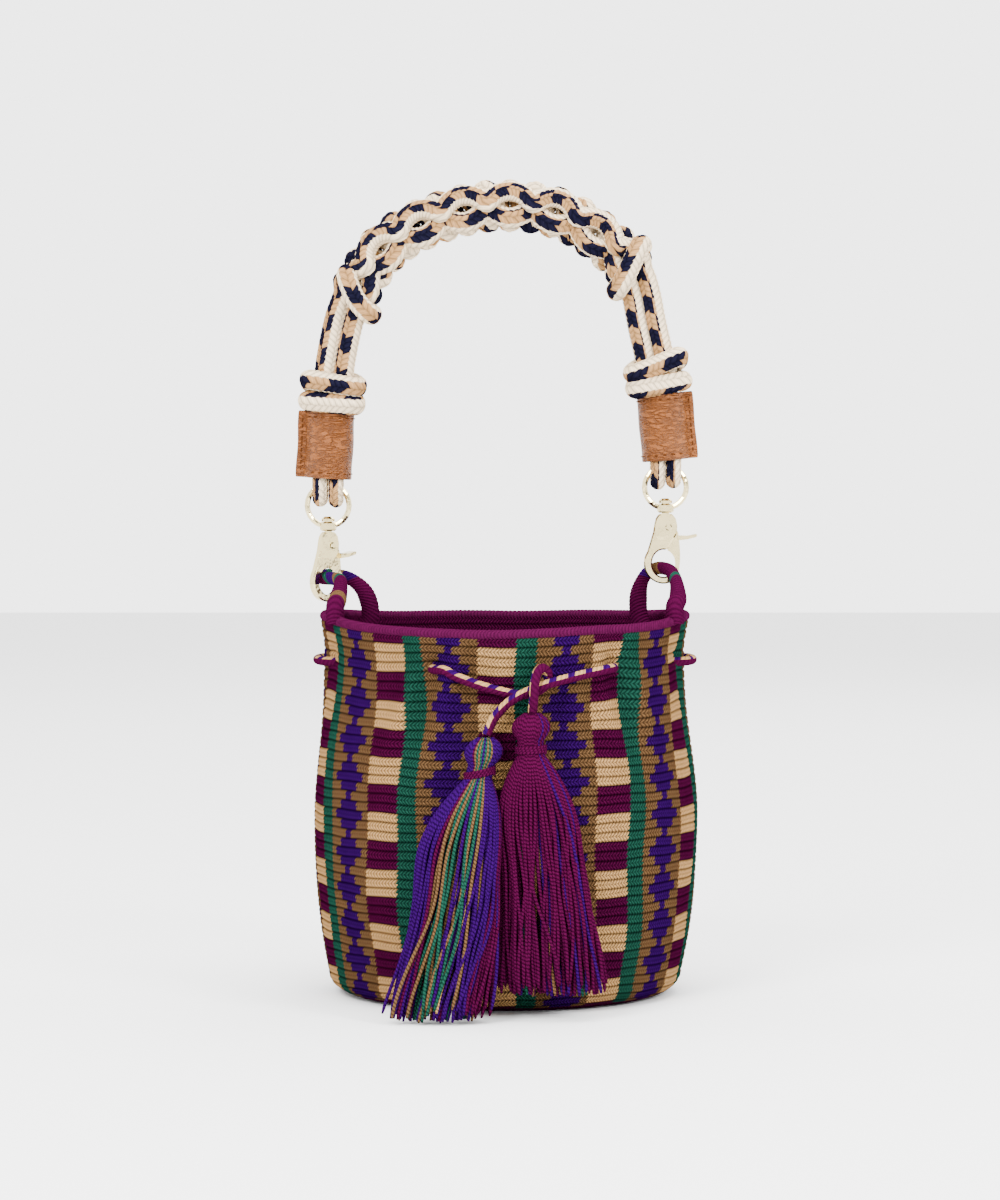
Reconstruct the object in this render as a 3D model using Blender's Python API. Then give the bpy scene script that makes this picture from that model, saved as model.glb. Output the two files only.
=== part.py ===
"""Crocheted bucket bag with a drawstring, two tassels and a clip-on knotted rope handle.

Metres, +Z up. The origin is the centre of the base, the front faces -Y and the
handle's two ends lie at -X (left) and +X (right).
"""
import math

import bmesh
import bpy
import numpy as np
from mathutils import Matrix, Vector

MM = 0.001
SEAT = 0.3 * MM           # gap kept between two solids that touch

# Bag wall: a round base, a soft belly, a neck gathered by the drawstring
BASE_RADIUS = 80 * MM
FOOT_RADIUS = 97 * MM
FOOT_HEIGHT = 12 * MM
BELLY_RADIUS = 105 * MM
BELLY_HEIGHT = 98 * MM
NECK_RADIUS = 97.5 * MM
NECK_HEIGHT = 183 * MM
MOUTH_RADIUS = 100.5 * MM
MOUTH_HEIGHT = 203 * MM
SIDE_RISE = 7 * MM        # the handle pulls the rim up at both sides
WALL = 4 * MM
WELT = 5.5 * MM           # thickness of the rolled rim
FOLD = 0.9 * MM           # gathers at the neck
FOLDS = 10
REPEATS = 10              # pattern repeats round the bag
BLOCK_HEIGHT = 14.85 * MM
COLUMNS = 60

# Drawstring and its eyelets, in degrees round the bag from +X
CORD = 4.2 * MM
CORD_CLEARANCE = 0.6 * MM
EYELET_WIDTH = 18.4 * MM
EYELET_HEIGHT = 6.4 * MM
EYELET_REACH = 4.6
FRONT_EYELETS = (-113.0, -53.0)
SIDE_PAIRS = ((-13.0, 13.0), (77.0, 103.0), (167.0, 193.0))

# Loops that the clasps hook into
LOOP_CORD = 8 * MM

# Tassels: a folded bundle of yarn with a tie round its neck
HEAD_RADIUS = 9.5 * MM
NECK_TIE = 3.2 * MM
TIE_RADIUS = 8.2 * MM
SKIRT_HALF_WIDTH = 21.5 * MM
SKIRT_HALF_DEPTH = 9 * MM
HEAD_SHARE = 0.1          # of the tassel's length
TIE_SHARE = 0.125
SPREAD_SHARE = 0.3        # over which the skirt widens below the tie
YARN_FLUTES = 11
FLUTE_DEPTH = 0.09

# Handle: four rope strands, leather sleeves, collars and a knotted grip
ROPE = 8.2 * MM
ROPE_CLEARANCE = 0.4 * MM
SLEEVE_LENGTH = 36.5 * MM
LEATHER = 1.8 * MM
FLAP_REACH = 5 * MM
COLLAR_TURNS = 2.1
COLLAR_LENGTH = 20 * MM
GRIP_PERIODS = 7
STRAND_STEPS = 8          # points on each period of the knotting
WRAP_TILT = 0.45
WRAP_OFFSET = 9.5 * MM    # from the end of the knotting to the middle of its wrap
# The handle's centre line in mm: X, and height above the rim
HANDLE_ROUTE = (
    (-97.2, 79.5), (-96.2, 97), (-95, 122), (-92, 149), (-84, 178),
    (-66, 206), (-38, 222), (-5.5, 229), (27.5, 225.5), (53, 211),
    (71, 191), (78, 163), (83.4, 138), (86.1, 113), (88.2, 89.5),
)
GRIP_START = (-84, 178)
GRIP_END = (71, 191)

# Strand centres in the grip: (mean, swing) outward, then (mean, swing) forward
FRONT_UPPER = (4.3, 2.65, 6.95, 0.8)
FRONT_LOWER = (-5.3, 2.65, 6.85, -0.85)
BACK_SWING = (10.3, 4.6)
BACK_DEPTH = 6.2

# Clasps, in a frame at the ring's centre with +X towards the thumb tab
RING_RADIUS = 11.5 * MM
RING_WIRE = 3 * MM
RING_DROP = 14.8 * MM     # from the sleeve's lower edge to the ring's centre
BOSS_RADIUS = 4.6 * MM
BOSS_TOP = -9 * MM
BOSS_FOOT = -14 * MM
STEM_RADIUS = 2.1 * MM
STEM_CLEARANCE = 0.35 * MM
HEAD_DISC = 3.7 * MM
HEAD_RISE = 2.6 * MM
HOOK_THICKNESS = 4.4 * MM
EYE_CENTRE = (-1 * MM, -41.8 * MM)
EYE_HALF = (6.4 * MM, 7.5 * MM)
HOOK_METAL = (4.5 * MM, 3.8 * MM)
PIVOT = (1.7 * MM, -22 * MM)
PIN_RADIUS = 1.1 * MM
PIN_HEAD = 1.9 * MM
PIN_CLEARANCE = 0.25 * MM
SLOT_WIDTH = 2.6 * MM
TRIGGER_PLATE = 2 * MM
GATE_THICKNESS = 3.6 * MM
GATE_REACH = 24.6 * MM    # from the pivot to the gate's tip
TAB_REACH = 17.4 * MM
TAB_HALF_WIDTH = 3 * MM
SPRING_WIRE = 0.36 * MM
SPRING_RADIUS = 0.75 * MM
SPRING_TURNS = 3
HOOK_TURN = {"left": 40.0, "right": 0.0}
SWING_AXIS_RISE = 27.5 * MM     # the swing axis is at the loops' tops, this far above the rim

# Free cord points chosen by hand, in mm: from the right tassel up and round to the left tassel
KNOT_FROM_RIGHT_TASSEL = (
    (14.3, -109.3, 161.8), (15.0, -111.2, 170.0), (15.4, -111.4, 176.5),
    (16.8, -109.0, 182.6), (19.8, -104.8, 184.8), (22.6, -101.9, 181.6),
    (21.6, -101.7, 176.2), (16.8, -101.8, 172.4), (9.0, -102.0, 170.6),
    (0.0, -102.0, 171.8), (-14.0, -101.6, 175.6), (-26.5, -99.0, 180.2),
)
KNOT_TO_LEFT_TASSEL = (
    (52.0, -87.5, 182.6), (44.0, -92.8, 181.2), (35.0, -98.6, 179.4),
    (27.0, -103.4, 177.6), (19.5, -106.4, 175.6), (12.0, -106.6, 172.6),
    (4.0, -106.6, 168.4), (-2.0, -106.8, 163.2), (-6.6, -107.6, 157.4),
    (-9.9, -109.4, 149.5),
)
# Loop points in mm: X, Y, and height above the rim
RIGHT_LOOP = (
    (93.8, -33.0, 15.0), (93.4, -23.0, 23.2), (91.0, -10.5, 28.6), (87.5, 0.0, 30.0),
    (83.5, 9.0, 29.6), (78.4, 14.8, 26.4), (74.8, 17.5, 19.0), (73.8, 18.5, 9.0),
    (75.4, 19.5, -1.0), (80.6, 20.0, -8.6), (86.2, 20.0, -11.4), (89.6, 20.0, -11.6),
)
LEFT_LOOP = (
    (-90.8, -33.0, 14.5), (-89.6, -23.0, 21.4), (-90.6, -13.0, 24.2), (-94.6, -5.6, 24.6),
    (-98.6, -0.7, 24.6), (-102.0, 5.0, 24.9), (-101.2, 12.4, 25.4), (-94.8, 17.4, 25.6),
    (-86.0, 18.8, 23.6), (-78.0, 19.2, 16.5), (-74.6, 19.5, 5.5), (-76.6, 20.0, -3.6),
    (-81.4, 20.0, -9.4), (-86.4, 20.0, -11.5), (-89.6, 20.0, -11.6),
)
LOOP_FOOT = (92.0, -38.0)

# Tassel lines in mm: top of the head, tie, two points in the skirt, lower ends
TASSELS = {
    "left": ((-10.2, -109.8, 148.2), (-13.5, -114.5, 129.9), (-23.5, -123.5, 94.0), (-27.0, -127.0, 50.0),
             (-35.0, -129.0, 1.0)),
    "right": ((14.2, -109.0, 160.9), (13.4, -112.5, 143.5), (17.0, -115.0, 104.0), (21.5, -116.5, 58.0),
              (24.5, -117.0, 13.0)),
}


def clear_scene():
    for old in list(bpy.data.objects):
        bpy.data.objects.remove(old, do_unlink=True)


def material(name, colour, roughness, metallic=0.0):
    made = bpy.data.materials.new(name)
    made.use_nodes = True
    shader = made.node_tree.nodes["Principled BSDF"]
    shader.inputs["Base Color"].default_value = (*colour, 1.0)
    shader.inputs["Roughness"].default_value = roughness
    shader.inputs["Metallic"].default_value = metallic
    made.diffuse_color = (*colour, 1.0)
    return made


def place(thing, parent=None, world_built=False):
    bpy.context.collection.objects.link(thing)
    if parent is None:
        return thing
    thing.parent = parent
    if world_built:
        thing.location = -parent.location
    return thing


def axis_empty(name, location, parent=None, turn=0.0):
    empty = bpy.data.objects.new(name, None)
    empty.location = Vector(location)
    empty.rotation_euler = (0, 0, math.radians(turn))
    return place(empty, parent)


def mesh_object(name, points, faces, look, parent=None, world_built=False, sharp=40):
    mesh = bpy.data.meshes.new(name)
    mesh.from_pydata([tuple(p) for p in points], [], faces)
    mesh.validate()
    work = bmesh.new()
    work.from_mesh(mesh)
    bmesh.ops.recalc_face_normals(work, faces=work.faces)
    work.to_mesh(mesh)
    work.free()
    mesh.materials.append(look)
    mesh.shade_smooth()
    mesh.set_sharp_from_angle(angle=math.radians(sharp))
    return place(bpy.data.objects.new(name, mesh), parent, world_built)


def tube(name, points, diameter, look, parent=None, world_built=False, rounds=1, cyclic=False):
    curve = bpy.data.curves.new(name, "CURVE")
    curve.dimensions = "3D"
    curve.bevel_depth = diameter / 2
    curve.bevel_resolution = rounds
    curve.use_fill_caps = True
    spline = curve.splines.new("POLY")
    spline.points.add(len(points) - 1)
    for target, point in zip(spline.points, points):
        target.co = (*point, 1.0)
    spline.use_cyclic_u = cyclic
    curve.materials.append(look)
    return place(bpy.data.objects.new(name, curve), parent, world_built)


def smooth_route(points, step):
    """Catmull-Rom curve through the points, read at even steps along its length."""
    knots = np.array(points, float)
    knots = np.vstack([2 * knots[0] - knots[1], knots, 2 * knots[-1] - knots[-2]])
    fine = []
    for a, b, c, d in zip(knots, knots[1:], knots[2:], knots[3:]):
        for t in np.linspace(0, 1, 24, endpoint=False):
            fine.append(0.5 * (2 * b + (c - a) * t + (2 * a - 5 * b + 4 * c - d) * t * t
                               + (3 * b - a - 3 * c + d) * t ** 3))
    fine.append(knots[-2])
    fine = np.array(fine)
    along = np.concatenate([[0], np.cumsum(np.linalg.norm(np.diff(fine, axis=0), axis=1))])
    count = max(2, round(along[-1] / step) + 1)
    wanted = np.linspace(0, along[-1], count)
    return np.stack([np.interp(wanted, along, fine[:, k]) for k in range(fine.shape[1])], 1)


def ease(t):
    t = min(max(t, 0.0), 1.0)
    return t * t * (3 - 2 * t)


def superellipse(angle, half, power=4):
    """Rounded-square radius, where half is the distance to its flat sides."""
    return half * (abs(math.cos(angle)) ** power + abs(math.sin(angle)) ** power) ** (-1 / power)


def extruded(name, outline, low, high, look, parent=None):
    """Prism of an outline in X and Z, between two Y values."""
    count = len(outline)
    points = [(x, low, z) for x, z in outline] + [(x, high, z) for x, z in outline]
    faces = [tuple(range(count)), tuple(range(2 * count - 1, count - 1, -1))]
    for i in range(count):
        j = (i + 1) % count
        faces.append((i, i + count, j + count, j))
    return mesh_object(name, points, faces, look, parent)


def turned(name, profile, look, parent=None, sides=20):
    """Solid of revolution about Z from (radius, height) points, both ends on the axis."""
    points = [(0, 0, profile[0][1])]
    for radius, height in profile:
        for k in range(sides):
            turn = 2 * math.pi * k / sides
            points.append((radius * math.cos(turn), radius * math.sin(turn), height))
    points.append((0, 0, profile[-1][1]))
    last = len(points) - 1
    faces = []
    for k in range(sides):
        j = (k + 1) % sides
        faces.append((0, 1 + j, 1 + k))
        for row in range(len(profile) - 1):
            a = 1 + row * sides
            faces.append((a + k, a + j, a + sides + j, a + sides + k))
        a = 1 + (len(profile) - 1) * sides
        faces.append((a + k, a + j, last))
    return mesh_object(name, points, faces, look, parent)


def guide(thing):
    thing.hide_render = True
    thing.display_type = "WIRE"


def boolean(target, other, operation):
    guide(other)
    step = target.modifiers.new(operation.lower(), "BOOLEAN")
    step.operation = operation
    step.solver = "EXACT"
    step.object = other


def soften(target, width, segments=2):
    step = target.modifiers.new("soften", "BEVEL")
    step.width = width
    step.segments = segments
    step.limit_method = "ANGLE"
    step.angle_limit = math.radians(50)


def above_rim(spot):
    """Metres, from a point in mm whose last number is its height above the rim."""
    return [v * MM for v in spot[:-1]] + [MOUTH_HEIGHT + spot[-1] * MM]


# Bag wall

def rim_height(turn):
    """Height of the rim, raised at the sides and a little lower in front."""
    return MOUTH_HEIGHT + SIDE_RISE * math.cos(turn) ** 4 + 0.5 * MM * math.sin(turn)


def wall_radius(height, turn):
    """Outer radius of the bag wall at a height and an angle."""
    if height < FOOT_HEIGHT:
        share = 1 - height / FOOT_HEIGHT
        return BASE_RADIUS + (FOOT_RADIUS - BASE_RADIUS) * math.sqrt(max(0, 1 - share * share))
    if height < BELLY_HEIGHT:
        share = (BELLY_HEIGHT - height) / (BELLY_HEIGHT - FOOT_HEIGHT)
        return BELLY_RADIUS - (BELLY_RADIUS - FOOT_RADIUS) * share ** 2.6
    if height < NECK_HEIGHT:
        radius = BELLY_RADIUS + (NECK_RADIUS - BELLY_RADIUS) * ease((height - BELLY_HEIGHT)
                                                                    / (NECK_HEIGHT - BELLY_HEIGHT))
    else:
        radius = NECK_RADIUS + (MOUTH_RADIUS - NECK_RADIUS) * ease((height - NECK_HEIGHT)
                                                                   / (MOUTH_HEIGHT - NECK_HEIGHT))
    gather = math.exp(-((height - NECK_HEIGHT) / (28 * MM)) ** 2)
    return radius + FOLD * gather * math.cos(FOLDS * turn)


def bag_section(turn):
    """Closed run of (radius, height) from the base's centre, up the outside and down the inside."""
    top = rim_height(turn)
    lift = top - MOUTH_HEIGHT
    rows = [FOOT_HEIGHT * 0.16, FOOT_HEIGHT * 0.5, FOOT_HEIGHT]
    row = BLOCK_HEIGHT * 2
    while row < MOUTH_HEIGHT - WELT * 2:
        rows.append(row)
        row += BLOCK_HEIGHT
    outside = [(BASE_RADIUS, 0.0)]
    for height in rows:
        outside.append((wall_radius(height, turn), height + lift * (height / MOUTH_HEIGHT) ** 4))
    radius = wall_radius(MOUTH_HEIGHT, turn)
    bulge = (WELT - WALL) / 2
    welt = [
        (radius, top - WELT * 1.5), (radius + bulge, top - WELT * 0.9), (radius + bulge, top - WELT * 0.35),
        (radius - WALL * 0.25, top), (radius - WALL * 0.75, top),
        (radius - WALL - bulge, top - WELT * 0.35), (radius - WALL - bulge, top - WELT * 0.9),
        (radius - WALL, top - WELT * 1.5),
    ]
    inside = [(r - WALL, z) for r, z in outside[:3:-2]]
    floor = [(FOOT_RADIUS - WALL, FOOT_HEIGHT), (FOOT_RADIUS - 2 * WALL, WALL * 1.4), (BASE_RADIUS - WALL, WALL)]
    return outside + welt + inside + floor


def pattern_slot(column, height):
    """Field of colour: block columns of two colours, green stripes and a diamond column on tan."""
    step = column % (COLUMNS // REPEATS)
    if step < 2:
        return 1 if int(height / BLOCK_HEIGHT) % 2 else 0
    if step == 2:
        return 2
    return 4 if step == 4 else 3


def eyelet_cutter():
    """Eight rounded tunnels through the neck, in pairs, for the drawstring."""
    points = []
    faces = []
    corners = ((1, 0.8), (0.9, 1), (-0.9, 1), (-1, 0.8), (-1, -0.8), (-0.9, -1), (0.9, -1), (1, -0.8))
    sides = len(corners)
    angles = list(FRONT_EYELETS) + [a for pair in SIDE_PAIRS for a in pair]
    for degrees in angles:
        turn = Matrix.Rotation(math.radians(degrees), 3, "Z")
        first = len(points)
        for depth in (NECK_RADIUS - 3 * WALL, NECK_RADIUS + 3 * WALL):
            for wide, tall in corners:
                points.append(turn @ Vector((depth, wide * EYELET_WIDTH / 2, NECK_HEIGHT + tall * EYELET_HEIGHT / 2)))
        faces.append(tuple(range(first, first + sides)))
        faces.append(tuple(range(first + 2 * sides - 1, first + sides - 1, -1)))
        for k in range(sides):
            j = (k + 1) % sides
            faces.append((first + k, first + sides + k, first + sides + j, first + j))
    cutter = mesh_object("eyelet_cutter", points, faces, looks["maroon"])
    guide(cutter)
    return cutter


def make_bag():
    sections = [bag_section(2 * math.pi * k / COLUMNS) for k in range(COLUMNS)]
    rows = len(sections[0])
    points = [(0, 0, 0)]
    for k, section in enumerate(sections):
        turn = 2 * math.pi * k / COLUMNS
        points += [(r * math.cos(turn), r * math.sin(turn), z) for r, z in section]
    points.append((0, 0, WALL))
    last = len(points) - 1
    faces = []
    slots = []
    for k in range(COLUMNS):
        a = 1 + k * rows
        b = 1 + ((k + 1) % COLUMNS) * rows
        faces.append((0, b, a))
        slots.append(0)
        for row in range(rows - 1):
            faces.append((a + row, b + row, b + row + 1, a + row + 1))
            low = sections[k][row][1]
            patterned = FOOT_HEIGHT * 0.9 < low < MOUTH_HEIGHT - 2 * WELT and row < rows / 2
            slots.append(pattern_slot(k, low) if patterned else 0)
        faces.append((a + rows - 1, b + rows - 1, last))
        slots.append(0)
    bag = mesh_object("crocheted_bag", points, faces, looks["maroon"], sharp=60)
    for name in ("beige", "green", "tan", "purple"):
        bag.data.materials.append(looks[name])
    bag.data.polygons.foreach_set("material_index", slots)
    boolean(bag, eyelet_cutter(), "DIFFERENCE")
    return bag


# Cords on the bag

def on_bag(radius, degrees, height):
    turn = math.radians(degrees)
    return (radius * math.cos(turn), radius * math.sin(turn), height)


def threading(degrees, outwards):
    """Three points that take the cord through an eyelet, in the sense of rising angle."""
    inner = NECK_RADIUS - WALL - FOLD - CORD_CLEARANCE - CORD / 2
    outer = NECK_RADIUS + FOLD + CORD_CLEARANCE + CORD / 2
    first, last = (inner, outer) if outwards else (outer, inner)
    middle = NECK_RADIUS - WALL / 2
    return [on_bag(first, degrees - EYELET_REACH, NECK_HEIGHT), on_bag(middle, degrees, NECK_HEIGHT),
            on_bag(last, degrees + EYELET_REACH, NECK_HEIGHT)]


def inner_run(start, end):
    """Points on the wall's inside between two eyelets."""
    radius = NECK_RADIUS - WALL - FOLD - CORD_CLEARANCE - CORD / 2
    low = start + EYELET_REACH
    high = end - EYELET_REACH
    count = max(2, round((high - low) / 12))
    return [on_bag(radius, low + (high - low) * k / count, NECK_HEIGHT) for k in range(1, count)]


def drawstring_route():
    left, right = FRONT_EYELETS
    route = [Vector(p) * MM for p in KNOT_TO_LEFT_TASSEL[::-1]]
    route += threading(right, False)
    before = right
    for first, last in SIDE_PAIRS:
        route += inner_run(before, first)
        route += threading(first, True)
        bulge = NECK_RADIUS + FOLD + CORD_CLEARANCE + CORD / 2 + 2 * MM
        route.append(on_bag(bulge, (first + last) / 2, NECK_HEIGHT))
        route += threading(last, False)
        before = last
    route += inner_run(before, left + 360)
    route += threading(left + 360, True)
    route += [Vector(p) * MM for p in KNOT_FROM_RIGHT_TASSEL[::-1]]
    return route


def make_loop(side, sign, route):
    foot_x = LOOP_FOOT[0] * MM * sign
    foot_y = LOOP_FOOT[1] * MM
    foot = Vector((foot_x, foot_y, rim_height(math.atan2(foot_y, foot_x)) + SEAT * 3))
    points = [foot, foot + Vector((0, 0, LOOP_CORD / 2))] + [Vector(above_rim(p)) for p in route]
    return tube("loop_" + side, smooth_route(points, 0.62 * LOOP_CORD), LOOP_CORD, looks["loop"])


# Tassels

def tassel_shape(share):
    """Half width and half depth of the yarn bundle, from head (0) to ends (1)."""
    waist = TIE_RADIUS - NECK_TIE / 2 - SEAT
    if share < HEAD_SHARE:
        round_head = math.sin(math.pi * min(0.97, 0.12 + 0.86 * share / HEAD_SHARE)) ** 0.6
        radius = max(HEAD_RADIUS * round_head, waist)
        return radius, radius
    spread = 1 - (1 - min(max(share - TIE_SHARE - 0.02, 0) / SPREAD_SHARE, 1.0)) ** 2
    return waist + (SKIRT_HALF_WIDTH - waist) * spread, waist + (SKIRT_HALF_DEPTH - waist) * spread


def tassel_yarn(side, line):
    path = smooth_route([Vector(p) * MM for p in line], 1.5 * MM)
    shares = (0.0, 0.02, 0.05, 0.085, 0.1, 0.145, 0.17, 0.2, 0.25, 0.34, 0.5, 0.75, 1.0)
    sides = 2 * YARN_FLUTES
    points = []
    for share in shares:
        spot = path[round(share * (len(path) - 1))]
        wide, deep = tassel_shape(share)
        flute = FLUTE_DEPTH * ease((share - 0.16) / 0.1)
        for k in range(sides):
            angle = 2 * math.pi * k / sides
            scale = 1 - (flute if k % 2 else 0.0)
            points.append((spot[0] + wide * scale * math.cos(angle),
                           spot[1] + deep * scale * math.sin(angle), spot[2]))
    faces = [tuple(range(sides)), tuple(range(len(points) - 1, len(points) - sides - 1, -1))]
    for row in range(len(shares) - 1):
        for k in range(sides):
            j = (k + 1) % sides
            a = row * sides
            faces.append((a + k, a + sides + k, a + sides + j, a + j))
    return mesh_object("tassel_" + side + "_yarn", points, faces, looks["tassel_" + side])


def tassel_tie(side, line):
    path = smooth_route([Vector(p) * MM for p in line], 1.5 * MM)
    spot = path[round(TIE_SHARE * (len(path) - 1))]
    ring = []
    for k in range(16):
        angle = 2 * math.pi * k / 16
        ring.append((spot[0] + TIE_RADIUS * math.cos(angle), spot[1] + TIE_RADIUS * math.sin(angle), spot[2]))
    return tube("tassel_" + side + "_tie", ring, NECK_TIE, looks["maroon"], cyclic=True)


# Handle

class HandleLine:
    """Centre line of the handle, with a frame that points outward and forward."""

    def __init__(self):
        self.points = smooth_route([above_rim(spot) for spot in HANDLE_ROUTE], 1 * MM)
        steps = np.linalg.norm(np.diff(self.points, axis=0), axis=1)
        self.along = np.concatenate([[0], np.cumsum(steps)])
        self.length = self.along[-1]

    def near(self, spot):
        gaps = np.linalg.norm(self.points - np.array(above_rim(spot)), axis=1)
        return float(self.along[int(np.argmin(gaps))])

    def frame(self, s):
        reach = 3 * MM
        place_at = [np.interp(s, self.along, self.points[:, k]) for k in range(2)]
        if s < 0:
            place_at = self.points[0] + (self.points[1] - self.points[0]) / self.along[1] * s
        if s > self.length:
            end = self.points[-1] - self.points[-2]
            place_at = self.points[-1] + end / np.linalg.norm(end) * (s - self.length)
        low = min(max(s - reach, 0), self.length - 2 * reach)
        high = low + 2 * reach
        ahead = np.array([np.interp(high, self.along, self.points[:, k])
                          - np.interp(low, self.along, self.points[:, k]) for k in range(2)])
        ahead /= np.linalg.norm(ahead)
        return Vector((place_at[0], 0, place_at[1])), Vector((-ahead[1], 0, ahead[0])), Vector((0, -1, 0))

    def spot(self, s, outward, forward):
        centre, out, front = self.frame(s)
        return centre + out * outward + front * forward


def strand_offset(strand, turn):
    """Outward and forward offset of a strand in the grip, and its shift along, in mm."""
    swing = math.cos(turn)
    if strand == "front_upper":
        mean, wave, depth, sway = FRONT_UPPER
        return mean + wave * swing, depth + sway * swing, 0.35 * math.sin(turn)
    if strand == "front_lower":
        mean, wave, depth, sway = FRONT_LOWER
        return mean + wave * swing, depth + sway * swing, -0.5 * math.sin(turn)
    sign = 1 if strand == "back_upper" else -1
    return sign * BACK_SWING[0] * swing, -BACK_DEPTH + sign * BACK_SWING[1] * math.sin(turn), 0.0


def leg_offset(strand):
    half = (ROPE + ROPE_CLEARANCE) / 2
    outward = half if "upper" in strand else -half
    forward = half if "front" in strand else -half
    return outward, forward


def strand_run(line, strand, grip):
    """Points of one strand from sleeve to sleeve, left to right, through the grip."""
    start, end = grip
    quarter = STRAND_STEPS // 4
    steps = GRIP_PERIODS * STRAND_STEPS + 2 * quarter
    period = (end - start) * STRAND_STEPS / steps
    leg_out, leg_front = leg_offset(strand)
    sleeve = SLEEVE_LENGTH / 2
    spacing = 9 * MM
    before = np.arange(sleeve, start - spacing * 0.4, spacing)
    after = np.arange(line.length - sleeve, end + spacing * 0.4, -spacing)[::-1]
    points = [line.spot(s, leg_out, leg_front) for s in before]
    for k in range(steps + 1):
        turn = 2 * math.pi * (k - quarter) / STRAND_STEPS
        along = period * k / STRAND_STEPS
        ramp = ease(min(along, end - start - along) / (0.25 * period))
        outward, forward, shift = [value * MM for value in strand_offset(strand, turn)]
        points.append(line.spot(start + along + shift * ramp, leg_out + (outward - leg_out) * ramp,
                                leg_front + (forward - leg_front) * ramp))
    points += [line.spot(s, leg_out, leg_front) for s in after]
    return points


def ring_bend(line, at_start, outward):
    """Points of a rope's turn through a ring, front leg first, down from mid sleeve and up again."""
    half = (ROPE + ROPE_CLEARANCE) / 2
    bar = RING_DROP - RING_RADIUS
    pass_by = RING_WIRE / 2 + ROPE / 2 + 2 * SEAT
    drop = RING_RADIUS - math.sqrt((RING_RADIUS - pass_by) ** 2 - half ** 2)
    levels = ((half, -5 * MM), (half + 0.3 * MM, 0.0), (pass_by, bar), (pass_by - 1.2 * MM, bar + 4.5 * MM),
              (pass_by / 2, bar + drop - 1 * MM), (0, bar + drop))
    levels = levels + tuple((-v, z) for v, z in levels[-2::-1])
    points = []
    for forward, below in levels:
        inside = min(below, 0.0)
        s = -inside if at_start else line.length + inside
        points.append(line.spot(s, outward, forward) - Vector((0, 0, max(below, 0.0))))
    return points


def make_handle(pivot):
    line = HandleLine()
    grip = (line.near(GRIP_START), line.near(GRIP_END))
    pairs = {"outer": ("front_upper", "back_upper"), "inner": ("front_lower", "back_lower")}
    for name, (front, back) in pairs.items():
        outward, _ = leg_offset(front)
        front_run = strand_run(line, front, grip)
        back_run = strand_run(line, back, grip)
        route = back_run[:-1]
        route = ring_bend(line, True, outward) + route
        route = front_run[-2:0:-1] + route
        route = ring_bend(line, False, outward)[::-1] + route
        tube("handle_rope_" + name, route, ROPE, looks["rope"], pivot, True)
    make_sleeves(line, pivot)
    make_collars(line, pivot)
    make_wraps(line, grip, pivot)
    return line


def make_sleeves(line, pivot):
    """Leather tube round the four strands, its two edges sewn together as a flat outer flap."""
    inner = (ROPE + ROPE_CLEARANCE) / math.sqrt(2) + ROPE / 2 + 3 * SEAT
    outer = inner + LEATHER
    half_flap = LEATHER + 0.1 * MM
    sides = 24
    lean = math.asin(half_flap / outer)
    for side in ("left", "right"):
        section = []
        for k in range(sides + 1):
            angle = lean + (2 * math.pi - 2 * lean) * k / sides
            section.append((outer * math.cos(angle), outer * math.sin(angle)))
        section.append((outer + FLAP_REACH, -half_flap))
        section.append((outer + FLAP_REACH, half_flap))
        hole = []
        for k in range(len(section)):
            angle = lean + (2 * math.pi - 2 * lean) * min(k, sides) / sides
            if k > sides:
                angle = (-lean / 3, lean / 3)[k - sides - 1]
            hole.append((inner * math.cos(angle), inner * math.sin(angle)))
        count = len(section)
        points = []
        for share in (0.0, 0.04, 0.96, 1.0):
            s = SLEEVE_LENGTH * share
            if side == "right":
                s = line.length - s
            inset = 0.4 * MM if share in (0.0, 1.0) else 0.0
            for out, front in section:
                size = 1 - inset / math.hypot(out, front)
                points.append(line.spot(s, out * size, front * size))
        for share in (0.0, 1.0):
            s = SLEEVE_LENGTH * share
            if side == "right":
                s = line.length - s
            points += [line.spot(s, out, front) for out, front in hole]
        faces = []
        rings = (4, 0, 1, 2, 3, 5)
        for a, b in zip(rings, rings[1:] + rings[:1]):
            for k in range(count):
                j = (k + 1) % count
                faces.append((a * count + k, a * count + j, b * count + j, b * count + k))
        mesh_object("leather_sleeve_" + side, points, faces, looks["leather"], pivot, True)


def make_collars(line, pivot):
    """Rope wound round the four legs on top of each sleeve, level in front and climbing behind."""
    half = ROPE + ROPE_CLEARANCE / 2 + ROPE / 2 + SEAT * 1.5
    pitch = (COLLAR_LENGTH - ROPE) / (COLLAR_TURNS - 1)
    steps = round(COLLAR_TURNS * 16)
    for side in ("left", "right"):
        points = []
        for k in range(steps + 1):
            turns = COLLAR_TURNS * k / steps - 0.6
            angle = 2 * math.pi * turns + math.pi / 2
            climb = round(turns) + 4 * (turns - round(turns)) ** 3
            rise = SLEEVE_LENGTH + SEAT * 2 + ROPE / 2 + pitch * max(0, climb)
            radius = superellipse(angle, half)
            s = rise if side == "left" else line.length - rise
            points.append(line.spot(s, radius * math.cos(angle), radius * math.sin(angle)))
        tube("collar_" + side, points, ROPE, looks["rope"], pivot, True)


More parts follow.
